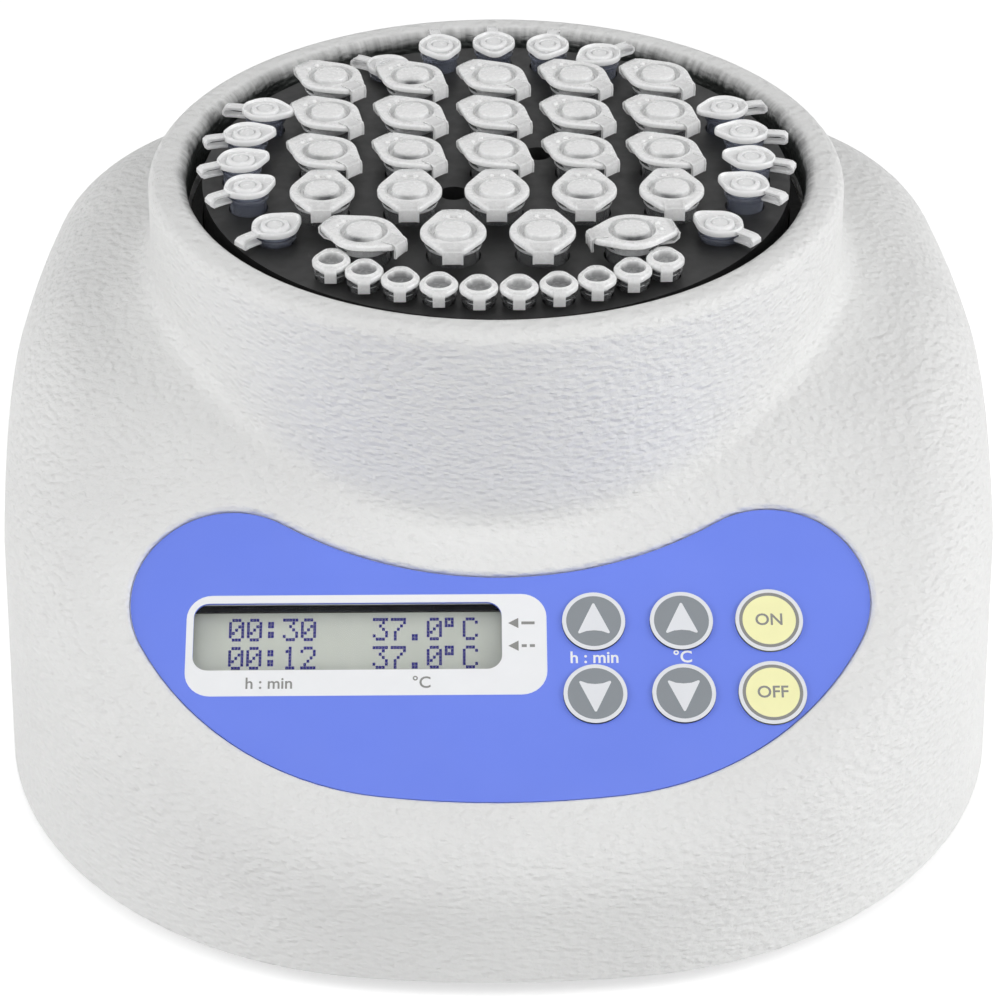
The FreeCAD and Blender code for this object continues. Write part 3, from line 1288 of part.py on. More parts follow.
def make_power_switch():
    """Switch frame with a rocker on a pin, and the blades behind it."""
    place = rear_placement(S.switch_x)
    case_width, case_height = switch_case_size()
    centre = [(0, 0)]
    frame = new_body("switch_frame", place)
    padded(frame, "case", -S.frame_depth, 0, rectangles(centre, case_width, case_height))
    padded(frame, "flange", 0, S.frame_flange_thickness,
           rectangles(centre, case_width + 2 * S.frame_flange, case_height + 2 * S.frame_flange))
    pocketed(frame, "mouth", S.frame_flange_thickness, -S.frame_depth + 2 * S.frame_wall,
             rectangles(centre, case_width - 2 * S.frame_wall, case_height - 2 * S.frame_wall))
    pivot = -S.rocker_pivot_depth
    pin_half = case_width / 2 - S.frame_wall / 2
    cut_pin_hole(frame, pivot, S.rocker_pin_radius + S.screw_clearance, pin_half + S.screw_clearance)

    rocker = doc.addObject("Part::Feature", "power_rocker")
    rocker.Label = "power_rocker"
    half = S.rocker_half_height
    corners = [(half, S.rocker_crown), (0, S.rocker_dip), (-half, S.rocker_crown), (-half, -S.rocker_skirt),
               (-half / 3, -S.rocker_keel), (half / 3, -S.rocker_keel), (half, -S.rocker_skirt)]
    width = float(S.rocker_width)
    wire = Part.makePolygon([Vector(-width / 2, y, z) for y, z in corners + corners[:1]])
    form = Part.Face(wire).extrude(Vector(width, 0, 0))
    pin = Part.makeCylinder(S.rocker_pin_radius, 2 * pin_half, Vector(-pin_half, 0, 0), Vector(1, 0, 0))
    form = form.fuse(pin)
    form.rotate(Vector(0, 0, 0), Vector(1, 0, 0), S.rocker_tilt)
    rocker.Shape = form
    rocker.Placement = place.multiply(Placement(Vector(0, 0, pivot), Rotation()))

    blades = new_body("switch_blades", place)
    padded(blades, "blades", -S.frame_depth - S.blade_length, -S.frame_depth,
           rectangles([(0, side * case_height / 4) for side in (-1, 1)], S.blade_width, S.blade_thickness))


def cut_pin_hole(frame, level, radius, half_length):
    """Cross hole for the rocker's pin, closed at both ends."""
    sketch = new_sketch(frame, "pin_hole_outline", "YZ_Plane", -half_length)
    add_circle(sketch, 0, level, radius)
    feature = frame.newObject("PartDesign::Pocket", frame.Name + "_pin_hole")
    feature.Profile = sketch
    feature.Reversed = True
    feature.setExpression("Length", text_of(2 * half_length))
    frame.Tip = feature


def make_all():
    """Every sub-part, from the outside inwards."""
    make_upper_housing()
    make_base_plate()
    make_rubber_feet()
    make_screws("base_screws", housing_posts(), S.post_bottom - S.plate_thickness, -1,
                S.post_bottom + S.screw_bite, S.screw_radius, S.screw_head_radius, S.screw_head_height)
    make_panel_overlay()
    make_display_window()
    for name, x, y, radius in key_places():
        make_key(name, x, y, radius)
        make_switch_button(name, x, y)
    make_key_switches()
    make_display()
    make_control_board()
    make_heating_block()
    make_heating_stack()
    make_tubes()
    make_power_inlet()
    make_power_switch()
    doc.recompute()


HELPERS = ("block_blank", "block_wells")


def sub_parts():
    """The objects that are written out, each under its label."""
    bodies = [item for item in doc.Objects if item.TypeId == "PartDesign::Body"]
    others = [item for item in doc.Objects if item.TypeId in ("Part::Feature", "Part::Cut")
              and item.Name not in HELPERS]
    return bodies + others


def check_model():
    """Stop on a failed feature, an empty cut or a shape that isn't sound."""
    for item in doc.Objects:
        if "Invalid" in item.State or "Error" in item.State:
            raise RuntimeError(item.Name + " failed: " + str(item.State))
        if item.TypeId == "PartDesign::Pocket" and item.Shape.Volume >= item.BaseFeature.Shape.Volume - 1e-6:
            raise RuntimeError(item.Name + " cuts nothing")
    for item in sub_parts():
        if item.Shape.isNull() or not item.Shape.isValid() or item.Shape.Volume <= 0:
            raise RuntimeError(item.Label + " has no sound shape")


def write_steps():
    """One STEP file for each sub-part."""
    os.makedirs("parts", exist_ok=True)
    for item in sub_parts():
        item.Shape.exportStep(os.path.join("parts", item.Label + ".step"))
        print(item.Label, len(item.Shape.Solids), "solids", round(item.Shape.Volume), "mm3")


make_all()
check_model()
write_steps()
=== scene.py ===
import json
import math
import random

import bpy
from mathutils import Matrix, Vector


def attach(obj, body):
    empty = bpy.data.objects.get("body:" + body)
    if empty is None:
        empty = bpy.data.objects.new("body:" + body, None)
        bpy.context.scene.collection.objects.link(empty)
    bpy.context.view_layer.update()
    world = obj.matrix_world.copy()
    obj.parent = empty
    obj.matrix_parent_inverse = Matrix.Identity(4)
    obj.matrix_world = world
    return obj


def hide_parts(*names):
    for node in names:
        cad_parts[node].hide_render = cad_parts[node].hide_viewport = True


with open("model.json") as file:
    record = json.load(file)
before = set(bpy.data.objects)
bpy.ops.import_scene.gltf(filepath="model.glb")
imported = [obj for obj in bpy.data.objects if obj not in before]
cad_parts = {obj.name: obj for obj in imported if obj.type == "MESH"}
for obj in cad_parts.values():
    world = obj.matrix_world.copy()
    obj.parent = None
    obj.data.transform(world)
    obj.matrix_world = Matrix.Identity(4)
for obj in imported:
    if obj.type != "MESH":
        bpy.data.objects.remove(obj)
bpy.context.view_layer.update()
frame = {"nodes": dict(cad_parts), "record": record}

# Dry bath incubator. Lengths below are millimetres in the frame of the CAD model:
# +X right, +Y back, +Z up, origin on the bench under the middle of the footprint.
# Places on the control panel are in the panel's own frame, x right, y up the slope, z out of it.

MM = 0.001
NODES = frame["nodes"]
SEED = random.Random(7)

# Places and sizes that the CAD model also has
PANEL = Matrix.Translation((0, -49.1, 66.8)) @ Matrix.Rotation(math.radians(30), 4, "X")
OVERLAY_TOP = -1.0
# Middle x and y, width, height and corner radius
WINDOW = (-30.1, -23.8, 60.5, 14.4, 3.0)
KEY_COLUMNS = (18.2, 35.45, 52.7)
KEY_ROWS = (-21.1, -36.6)
KEY_TOP = OVERLAY_TOP + 0.5
ARROW_KEY_RADIUS = 5.95
ACTION_KEY_RADIUS = 6.4
BLOCK_AXIS_Y = 24.8
BLOCK_TOP = 107.0
WELL_PITCH = 18.0
MEDIUM_CIRCLE = 53.7
SMALL_CIRCLE = 55.5
SMALL_STEP = 8.2
MOUTH_RADIUS = 65.3
REAR_FACE_Y = 110.5
SWITCH_X = -17.0
REAR_MIDDLE = 27.0
# Each of the rocker's two faces: its height, how far its outer edge rises, and its middle above the wall
ROCKER_FACE = (6.0, 0.8, 1.2)


# Materials

class Paint:
    """A Principled material fed by small node networks; keywords name its sockets, as in ior=1.5."""

    def __init__(self, name, **sockets):
        self.material = bpy.data.materials.new(name)
        self.material.use_nodes = True
        self.tree = self.material.node_tree
        self.shader = self.tree.nodes["Principled BSDF"]
        self.place = self.node("ShaderNodeTexCoord").outputs["Object"]
        for key, value in sockets.items():
            self.feed(self.shader, key.replace("_", " ").title().replace("Ior", "IOR"), value)

    def node(self, kind, inputs=(), **settings):
        made = self.tree.nodes.new(kind)
        for key, value in settings.items():
            setattr(made, key, value)
        for key, value in dict(inputs).items():
            self.feed(made, key, value)
        return made

    def feed(self, node, key, value):
        if isinstance(value, bpy.types.NodeSocket):
            self.tree.links.new(value, node.inputs[key])
        else:
            if isinstance(value, tuple) and len(value) == 3 and node.inputs[key].type == "RGBA":
                value = value + (1.0,)
            node.inputs[key].default_value = value

    def stretched(self, x, y, z):
        """Coordinates scaled along each axis, for grain that runs one way."""
        mapping = self.node("ShaderNodeMapping", {"Vector": self.place, "Scale": (x, y, z)})
        return mapping.outputs["Vector"]

    def noise(self, scale, detail=2.0, distortion=0.0, place=None):
        node = self.node("ShaderNodeTexNoise", {
            "Vector": place or self.place, "Scale": scale, "Detail": detail, "Distortion": distortion})
        return node.outputs["Fac"]

    def cells(self, scale, feature, place=None):
        node = self.node("ShaderNodeTexVoronoi", {"Vector": place or self.place, "Scale": scale},
                         feature=feature)
        return node.outputs["Distance"]

    def span(self, value, low, high, to_low, to_high):
        """A value mapped from one range to another, held at its ends."""
        node = self.node("ShaderNodeMapRange", {
            "Value": value, "From Min": low, "From Max": high, "To Min": to_low, "To Max": to_high})
        return node.outputs["Result"]

    def math(self, operation, a, b):
        node = self.node("ShaderNodeMath", {0: a, 1: b}, operation=operation)
        return node.outputs["Value"]

    def blend(self, factor, a, b):
        """A mix of two colours, by the numbers that a Mix node gives its colour sockets."""
        node = self.node("ShaderNodeMix", data_type="RGBA")
        self.feed(node, 0, factor)
        self.feed(node, 6, a)
        self.feed(node, 7, b)
        return node.outputs[2]

    def colour(self, value):
        self.feed(self.shader, "Base Color", value)

    def rough(self, value):
        self.feed(self.shader, "Roughness", value)

    def bumped(self, height, distance):
        """Height in the range 0 to 1, over a distance in millimetres."""
        node = self.node("ShaderNodeBump", {"Height": height, "Distance": distance * MM, "Strength": 1.0})
        self.feed(self.shader, "Normal", node.outputs["Normal"])


def mottled(name, dark, light, patch, rough_low, rough_high, grain, depth, **sockets):
    """A material with soft colour patches, uneven gloss and a fine grain."""
    paint = Paint(name, **sockets)
    patches = paint.span(paint.noise(patch, 3.0), 0.3, 0.7, 0.0, 1.0)
    paint.colour(paint.blend(patches, dark, light))
    paint.rough(paint.span(paint.noise(patch * 2.7, 4.0), 0.3, 0.7, rough_low, rough_high))
    paint.bumped(paint.noise(grain, 3.0), depth)
    return paint.material


# How far above the block's top painted shade darkens the inside of the mouth, in millimetres
PAINTED_SHADE_HEIGHT = 3.3


def housing_plastic():
    """Off-white moulded plastic with a leathery texture, and painted shade inside the mouth near the block.
    """
    paint = Paint("housing_plastic", specular_ior_level=0.4)
    patches = paint.span(paint.noise(28.0, 3.0), 0.3, 0.7, 0.0, 1.0)
    white = paint.blend(patches, (0.80, 0.80, 0.795), (0.84, 0.842, 0.835))
    # Polar coordinates round the block's axis
    split = paint.node("ShaderNodeSeparateXYZ", {"Vector": paint.place}).outputs
    across = paint.math("SUBTRACT", split["Y"], BLOCK_AXIS_Y * MM)
    radius = paint.math("SQRT", paint.math("ADD", paint.math("MULTIPLY", split["X"], split["X"]),
                                           paint.math("MULTIPLY", across, across)), 0.0)
    around = paint.math("ARCTAN2", across, split["X"])
    # Painted shade: dark from just below the block's top to the set height above it, with an uneven upper
    # edge
    streak_place = paint.node("ShaderNodeCombineXYZ", {"X": around, "Y": 0.0, "Z": 0.0}).outputs["Vector"]
    streaks = paint.span(paint.noise(34.0, 3.0, place=streak_place), 0.25, 0.75, -0.9 * MM, 0.9 * MM)
    level = paint.math("ADD", split["Z"], streaks)
    low = paint.span(level, BLOCK_TOP * MM, (BLOCK_TOP + PAINTED_SHADE_HEIGHT) * MM, 1.0, 0.0)
    inside = paint.span(radius, (MOUTH_RADIUS + 1.4) * MM, (MOUTH_RADIUS + 2.2) * MM, 1.0, 0.0)
    above = paint.math("GREATER_THAN", split["Z"], (BLOCK_TOP - 6.0) * MM)
    painted_shade = paint.math("MULTIPLY", paint.math("MULTIPLY", low, inside), above)
    # The painted shade is near black where it is full
    paint.colour(paint.blend(painted_shade, white, (0.045, 0.05, 0.047)))
    paint.rough(paint.span(paint.noise(60.0, 3.0), 0.3, 0.7, 0.46, 0.58))
    flat = paint.stretched(1.0, 1.0, 1.9)
    pebbles = paint.span(paint.cells(560.0, "SMOOTH_F1", flat), 0.1, 0.7, 1.0, 0.0)
    crinkle = paint.noise(900.0, 2.0, 0.6, flat)
    height = paint.math("ADD", paint.math("MULTIPLY", pebbles, 0.55), paint.math("MULTIPLY", crinkle, 0.45))
    paint.bumped(height, 0.55)
    return paint.material


def overlay_film():
    """Blue printed film with a fine velvet texture."""
    return mottled("overlay_film", (0.147, 0.232, 0.855), (0.157, 0.244, 0.885), 40.0,
                   0.36, 0.46, 5200.0, 0.012, specular_ior_level=0.45)


def print_ink(name, colour, spread=0.03, **sockets):
    """Screen-printed ink: nearly even, with a trace of the film's texture."""
    dark = tuple(value * (1 - spread) for value in colour)
    return mottled(name, dark, colour, 220.0, 0.38, 0.5, 4200.0, 0.01, **sockets)


def anodised_black():
    """Black anodised aluminium with the faint rings of turning."""
    paint = Paint("anodised_black", specular_ior_level=0.3)
    patches = paint.span(paint.noise(90.0, 4.0), 0.3, 0.7, 0.0, 1.0)
    paint.colour(paint.blend(patches, (0.016, 0.016, 0.0165), (0.023, 0.023, 0.023)))
    paint.rough(paint.span(paint.noise(400.0, 4.0), 0.3, 0.7, 0.40, 0.52))
    centred = paint.node("ShaderNodeMapping", {"Vector": paint.place, "Location": (0, -BLOCK_AXIS_Y * MM, 0)})
    rings = paint.node("ShaderNodeTexWave", {"Vector": centred.outputs["Vector"], "Scale": 900.0,
                                             "Distortion": 0.4, "Detail": 1.0},
                       wave_type="RINGS", rings_direction="Z")
    height = paint.math("ADD", paint.math("MULTIPLY", rings.outputs["Fac"], 0.35),
                        paint.math("MULTIPLY", paint.noise(5000.0, 2.0), 0.65))
    paint.bumped(height, 0.012)
    return paint.material


def polypropylene(name, tint, see_through, rough, grain, depth, painted_shade=None, **sockets):
    """Natural polypropylene, from clear to milky, with painted shade where a colour for it is given, as over
    a cap's thin groove and bowl.
    """
    paint = Paint(name, transmission_weight=see_through, **sockets)
    patches = paint.span(paint.noise(260.0, 2.0), 0.3, 0.7, 0.0, 1.0)
    paler = tuple(min(1.0, value * 1.035) for value in tint)
    colour = paint.blend(patches, tint, paler)
    if painted_shade:
        # Painted shade: each point's shade number blends the colour towards the given shade colour
        shade = paint.node("ShaderNodeAttribute", attribute_name="shade").outputs["Fac"]
        colour = paint.blend(shade, colour, painted_shade)
    paint.colour(colour)
    paint.rough(paint.span(paint.noise(900.0, 3.0), 0.3, 0.7, rough * 0.8, rough * 1.25))
    paint.bumped(paint.noise(grain, 3.0, 0.5), depth)
    return paint.material


def brushed_metal(name, dark, light, scale, rough, depth):
    """Metal with fine lines along X."""
    paint = Paint(name, metallic=1.0)
    lines = paint.noise(1.0, 4.0, place=paint.stretched(scale * 0.02, scale, scale))
    paint.colour(paint.blend(paint.span(lines, 0.3, 0.7, 0.0, 1.0), dark, light))
    paint.rough(paint.span(lines, 0.3, 0.7, rough * 0.85, rough * 1.2))
    paint.bumped(lines, depth)
    return paint.material


def circuit_green():
    """Solder mask over copper tracks."""
    paint = Paint("circuit_green", specular_ior_level=0.6)
    tracks = paint.span(paint.cells(160.0, "DISTANCE_TO_EDGE"), 0.04, 0.07, 1.0, 0.0)
    paint.colour(paint.blend(tracks, (0.012, 0.10, 0.035), (0.03, 0.19, 0.06)))
    paint.rough(paint.span(paint.noise(300.0), 0.3, 0.7, 0.25, 0.38))
    paint.bumped(tracks, 0.03)
    return paint.material


def display_face():
    """Pale green-grey face of the display, a little cloudy."""
    paint = Paint("display_face", specular_ior_level=0.1)
    patches = paint.span(paint.noise(55.0, 2.0), 0.3, 0.7, 0.0, 1.0)
    paint.colour(paint.blend(patches, (0.415, 0.428, 0.388), (0.450, 0.462, 0.420)))
    paint.rough(paint.span(paint.noise(300.0), 0.3, 0.7, 0.45, 0.6))
    paint.bumped(paint.noise(3000.0, 2.0), 0.006)
    return paint.material


def felt():
    """Pale fibre felt of the insulation."""
    return mottled("insulation_felt", (0.62, 0.60, 0.54), (0.80, 0.78, 0.72), 300.0,
                   0.85, 0.98, 900.0, 0.5, sheen_weight=0.3)


# Colour of a cap's painted shade where it is full, and how light spreads inside a milky one
CAP_PAINTED_SHADE = (0.10, 0.104, 0.108)
MILKY = {"ior": 1.5, "subsurface_weight": 0.4, "subsurface_radius": (1, 1, 1), "subsurface_scale": 0.001}
MATERIALS = {
    "housing": housing_plastic(),
    "base": mottled("base_plastic", (0.040, 0.040, 0.042), (0.052, 0.052, 0.054), 60.0, 0.5, 0.62,
                    1100.0, 0.06),
    "feet": mottled("foot_rubber", (0.012, 0.012, 0.012), (0.022, 0.022, 0.022), 200.0, 0.7, 0.85,
                    1800.0, 0.05),
    "steel": brushed_metal("screw_steel", (0.52, 0.52, 0.53), (0.66, 0.66, 0.66), 900.0, 0.32, 0.01),
    "frame_steel": mottled("frame_paint", (0.010, 0.010, 0.012), (0.018, 0.018, 0.020), 150.0, 0.5, 0.62,
                           2500.0, 0.01, specular_ior_level=0.15),
    "overlay": overlay_film(),
    "black_plastic": mottled("black_plastic", (0.014, 0.014, 0.015), (0.024, 0.024, 0.025), 120.0, 0.38, 0.52,
                             1500.0, 0.03),
    "backlight": mottled("light_guide", (0.60, 0.64, 0.58), (0.68, 0.72, 0.66), 80.0, 0.3, 0.4,
                         1500.0, 0.01),
    "circuit_board": circuit_green(),
    "spacer_nylon": mottled("spacer_nylon", (0.66, 0.66, 0.61), (0.76, 0.76, 0.71), 200.0, 0.4, 0.5,
                            1500.0, 0.01),
    "block": anodised_black(),
    "heater": mottled("heater_silicone", (0.42, 0.10, 0.04), (0.52, 0.14, 0.06), 160.0, 0.6, 0.72,
                      1500.0, 0.04),
    "plate_aluminium": brushed_metal("plate_aluminium", (0.66, 0.66, 0.67), (0.78, 0.78, 0.78), 700.0,
                                     0.3, 0.01),
    "insulation": felt(),
    "sleeve": mottled("sleeve_rubber", (0.008, 0.008, 0.008), (0.014, 0.014, 0.014), 200.0, 0.75, 0.9,
                      1800.0, 0.05),
    "brass": brushed_metal("brass", (0.60, 0.44, 0.19), (0.72, 0.55, 0.26), 700.0, 0.25, 0.01),
    "key_grey": print_ink("key_grey", (0.242, 0.266, 0.290)),
    "key_yellow": print_ink("key_yellow", (0.975, 0.955, 0.515)),
    "rocker": mottled("rocker_plastic", (0.012, 0.012, 0.013), (0.020, 0.020, 0.021), 150.0, 0.25, 0.36,
                      2200.0, 0.012),
    "window": polypropylene("window_acrylic", (0.95, 0.96, 0.96), 1.0, 0.006, 300.0, 0.0005, ior=1.12),
    "lcd_glass": display_face(),
    "white_ink": print_ink("white_ink", (0.90, 0.91, 0.93), 0.02),
    "key_white": print_ink("key_white", (0.80, 0.815, 0.85), 0.02),
    "grey_ink": print_ink("grey_ink", (0.25, 0.25, 0.24)),
    "navy_ink": print_ink("segment_navy", (0.026, 0.022, 0.165), specular_ior_level=0.1),
    "cap_frosted": polypropylene("cap_frosted", (0.96, 0.962, 0.96), 0.03, 0.26, 500.0, 0.003, CAP_PAINTED_SHADE,
                                 **MILKY),
    "cap_clear": polypropylene("cap_clear", (0.88, 0.885, 0.89), 0.72, 0.22, 900.0, 0.006, ior=1.45),
    "cap_milky": polypropylene("cap_milky", (0.95, 0.952, 0.955), 0.02, 0.24, 600.0, 0.003, CAP_PAINTED_SHADE,
                               **MILKY),
    "tube_clear": polypropylene("tube_clear", (0.90, 0.91, 0.92), 0.94, 0.08, 700.0, 0.004, ior=1.45),
    "tube_tinted": polypropylene("tube_tinted", (0.60, 0.635, 0.74), 0.85, 0.12, 700.0, 0.004, ior=1.45),
}


def paint_nodes():
    """Give every CAD node the material of its slot."""
    for row in frame["record"]["subparts"]:
        material = MATERIALS.get(row["material_slot"])
        if material:
            node = NODES[row["node"]]
            node.data.materials.clear()
            node.data.materials.append(material)


# Meshes

SHARP_ANGLE = math.radians(40)
CORNER_STEPS = 8


class Shape:
    """Points with their painted shade, and faces with their material numbers."""

    def __init__(self):
        self.points, self.faces, self.kinds, self.painted_shades = [], [], [], []

    def add(self, points, faces, kinds=0, place=Matrix(), painted_shades=None):
        start = len(self.points)
        self.points += [place @ Vector(point) for point in points]
        self.painted_shades += painted_shades or [0.0] * len(points)
        self.faces += [[index + start for index in face] for face in faces]
        self.kinds += kinds if isinstance(kinds, list) else [kinds] * len(faces)

    def piece(self, name, body, slot, materials, place=Matrix()):
        """The shape as an object that rides on a body."""
        to_metres = Matrix.Scale(MM, 4) @ place
        mesh = bpy.data.meshes.new(name)
        mesh.from_pydata([to_metres @ point for point in self.points], [], self.faces)
        for material in materials:
            mesh.materials.append(MATERIALS[material])
        mesh.polygons.foreach_set("material_index", self.kinds)
        # Painted shade of each point, where the shape has any
        if any(self.painted_shades):
            mesh.attributes.new("shade", "FLOAT", "POINT").data.foreach_set("value", self.painted_shades)
        mesh.shade_smooth()
        mesh.set_sharp_from_angle(angle=SHARP_ANGLE)
        made = bpy.data.objects.new(name, mesh)
        bpy.context.scene.collection.objects.link(made)
        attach(made, body)
        return made


def loft(rings, closed=False):
    """Bands of faces between rings of points; a ring of one point is a pole."""
    starts, points = [], []
    for ring in rings:
        starts.append(len(points))
        points += ring
    faces, bands = [], []
    pairs = [(index, index + 1) for index in range(len(rings) - 1)]
    if closed:
        pairs.append((len(rings) - 1, 0))
    for band, (a, b) in enumerate(pairs):
        count = max(len(rings[a]), len(rings[b]))
        for i in range(count):
            j = (i + 1) % count
            corners = []
            for ring, step in ((a, i), (a, j), (b, j), (b, i)):
                index = starts[ring] + (step if len(rings[ring]) > 1 else 0)
                if index not in corners:
                    corners.append(index)
            faces.append(corners)
            bands.append(band)
    return points, faces, bands


def circle(radius, level, count):
    """A ring of points, or a pole where the radius is zero."""
    if radius == 0:
        return [(0, 0, level)]
    return [(radius * math.cos(math.tau * step / count), radius * math.sin(math.tau * step / count), level)
            for step in range(count)]


def rounded_rectangle(x, y, width, height, corner, level):
    """A ring of points round a rectangle, from its middle, size and corner radius."""
    points = []
    for quarter, (sx, sy) in enumerate(((1, 1), (-1, 1), (-1, -1), (1, -1))):
        cx = x + sx * (width / 2 - corner)
        cy = y + sy * (height / 2 - corner)
        for step in range(CORNER_STEPS + 1):
            angle = math.pi / 2 * (quarter + step / CORNER_STEPS)
            points.append((cx + corner * math.cos(angle), cy + corner * math.sin(angle), level))
    return points


def extruded(outline, low, high):
    """A plate over a flat outline."""
    points = [(x, y, low) for x, y in outline] + [(x, y, high) for x, y in outline]
    count = len(outline)
    faces = [list(range(count))[::-1], list(range(count, 2 * count))]
    faces += [[i, (i + 1) % count, count + (i + 1) % count, count + i] for i in range(count)]
    return points, faces


def strip(path, thickness):
    """A bent strip: path holds (x, z, half of the width) along its middle."""
    rings = []
    for index, (x, z, half) in enumerate(path):
        before = Vector(path[max(index - 1, 0)][:2])
        after = Vector(path[min(index + 1, len(path) - 1)][:2])
        along = (after - before).normalized()
        side = Vector((-along.y, along.x)) * thickness / 2
        rings.append([(x + side.x, half, z + side.y), (x - side.x, half, z - side.y),
                      (x - side.x, -half, z - side.y), (x + side.x, -half, z + side.y)])
    points, faces, _ = loft(rings)
    last = len(points) - 4
    faces += [[3, 2, 1, 0], [last, last + 1, last + 2, last + 3]]
    return points, [face[::-1] for face in faces]


# Printing on the control panel

# A print starts a little inside what it lies on. It stands out by INK_RELIEF on the sheet and the rocker,
# and by FINE_RELIEF on the keys, on the white field and in the display.
INK_DIP = 0.01
INK_RELIEF = 0.03
FINE_RELIEF = 0.02
INK_LOW = OVERLAY_TOP - INK_DIP
INK_HIGH = OVERLAY_TOP + INK_RELIEF
# Middle x and y, width, height and corner radius of the white field
BEZEL = (-26.4, -25.7, 70.7, 21.6, 5.0)
# How far the white rim of a key reaches over the gap round it
KEY_GAP_COVER = 0.25
# Insets of the inner edges of a key's rings: white on an arrow key, white and grey on a yellow one
ARROW_RING = 0.55
ACTION_RINGS = (0.5, 1.15)
# Pitch of the display's characters, size of a dot, and how far the text is off the window's middle
CHARACTER_PITCH = (3.55, 6.1)
DOT = (0.61, 0.71)
TEXT_SHIFT = (1.0, 0.2)
# Width of the line between two dots
DOT_LINE = 0.05

# Dots of each character from the top row down; d is the degree sign
GLYPHS = {
    "0": "01110 10001 10011 10101 11001 10001 01110",
    "1": "00100 01100 00100 00100 00100 00100 01110",
    "2": "01110 10001 00001 00010 00100 01000 11111",
    "3": "11111 00010 00100 00010 00001 10001 01110",
    "7": "11111 00001 00010 00100 01000 01000 01000",
    ":": "00000 01100 01100 00000 01100 01100 00000",
    ".": "00000 00000 00000 00000 00000 01100 01100",
    "d": "11100 10100 11100 00000 00000 00000 00000",
    "C": "01110 10001 10000 10000 10000 10001 01110",
}
DISPLAY_ROWS = (" 00:30   37.0dC ", " 00:12   37.0dC ")


def panel_level(node):
    """Highest level of a CAD node along the panel's normal, in millimetres."""
    to_panel = PANEL.inverted() @ Matrix.Scale(1 / MM, 4)
    return max((to_panel @ vertex.co).z for vertex in NODES[node].data.vertices)


def words(text, size, x, y, low, high, bold):
    """Lettering as a thin plate, centred on a point."""
    curve = bpy.data.curves.new("lettering", "FONT")
    curve.body = text
    curve.size = size
    curve.align_x = "CENTER"
    curve.align_y = "CENTER"
    curve.offset = bold
    curve.resolution_u = 4
    holder = bpy.data.objects.new("lettering", curve)
    bpy.context.scene.collection.objects.link(holder)
    flat = bpy.data.meshes.new_from_object(holder)
    points = [(vertex.co.x + x, vertex.co.y + y) for vertex in flat.vertices]
    tops = [list(face.vertices) for face in flat.polygons]
    rims = {}
    for face in tops:
        for a, b in zip(face, face[1:] + face[:1]):
            rims[(a, b)] = True
    count = len(points)
    solid = [(px, py, high) for px, py in points] + [(px, py, low) for px, py in points]
    faces = tops + [[index + count for index in face[::-1]] for face in tops]
    faces += [[a, a + count, b + count, b] for a, b in rims if (b, a) not in rims]
    bpy.data.objects.remove(holder)
    bpy.data.curves.remove(curve)
    bpy.data.meshes.remove(flat)
    return solid, faces


def make_bezel():
    """White printed field round the display window."""
    shape = Shape()
    outer = [rounded_rectangle(*BEZEL, level) for level in (INK_LOW, INK_HIGH)]
    inner = [rounded_rectangle(*WINDOW, level) for level in (INK_HIGH, INK_LOW)]
    points, faces, _ = loft(outer + inner, closed=True)
    shape.add(points, faces)
    shape.piece("display_bezel_print", "instrument", "overlay", ["white_ink"], PANEL)


def make_labels():
    """Units under the display and between the keys, and the marks beside the rows."""
    grey, white = Shape(), Shape()
    low, high = INK_HIGH, INK_HIGH + FINE_RELIEF
    for text, x in (("h : min", -45.3), ("°C", -15.6)):
        grey.add(*words(text, 3.4, x, -33.9, low, high, 0.04))
    for text, x in (("h : min", KEY_COLUMNS[0]), ("°C", KEY_COLUMNS[1])):
        white.add(*words(text, 3.5, x, -28.8, INK_LOW, INK_HIGH, 0.06))
    # An arrow beside each row of the display, with a solid line above and a dashed one below
    for y in (-21.2, -26.1):
        grey.add(*extruded([(1.4, y), (3.4, y - 1.1), (3.4, y + 1.1)], low, high))
    grey.add(*extruded([(4.0, -21.5), (6.6, -21.5), (6.6, -20.9), (4.0, -20.9)], low, high))
    for x in (4.0, 5.6):
        grey.add(*extruded([(x, -26.4), (x + 1.0, -26.4), (x + 1.0, -25.8), (x, -25.8)], low, high))
    grey.piece("unit_labels", "instrument", "overlay", ["grey_ink"], PANEL)
    white.piece("key_labels", "instrument", "overlay", ["white_ink"], PANEL)


def make_characters():
    """Lit dots of the two-line display."""
    face = panel_level("lcd_glass")
    shape = Shape()
    pitch_x, pitch_y = CHARACTER_PITCH
    dot_x, dot_y = DOT
    left = WINDOW[0] + TEXT_SHIFT[0] - 8 * pitch_x + (pitch_x - 5 * dot_x) / 2
    for row, text in enumerate(DISPLAY_ROWS):
        top = WINDOW[1] + TEXT_SHIFT[1] + pitch_y * (0.5 - row) + 3.5 * dot_y
        for column, character in enumerate(text):
            for line, bits in enumerate(GLYPHS.get(character, "").split()):
                for step, bit in enumerate(bits):
                    if bit == "1":
                        x = left + column * pitch_x + step * dot_x
                        y = top - line * dot_y
                        right, bottom = x + dot_x - DOT_LINE, y - dot_y + DOT_LINE
                        corners = [(x, bottom), (right, bottom), (right, y), (x, y)]
                        shape.add(*extruded(corners, face, face + FINE_RELIEF))
    shape.piece("display_characters", "instrument", "lcd_glass", ["navy_ink"], PANEL)


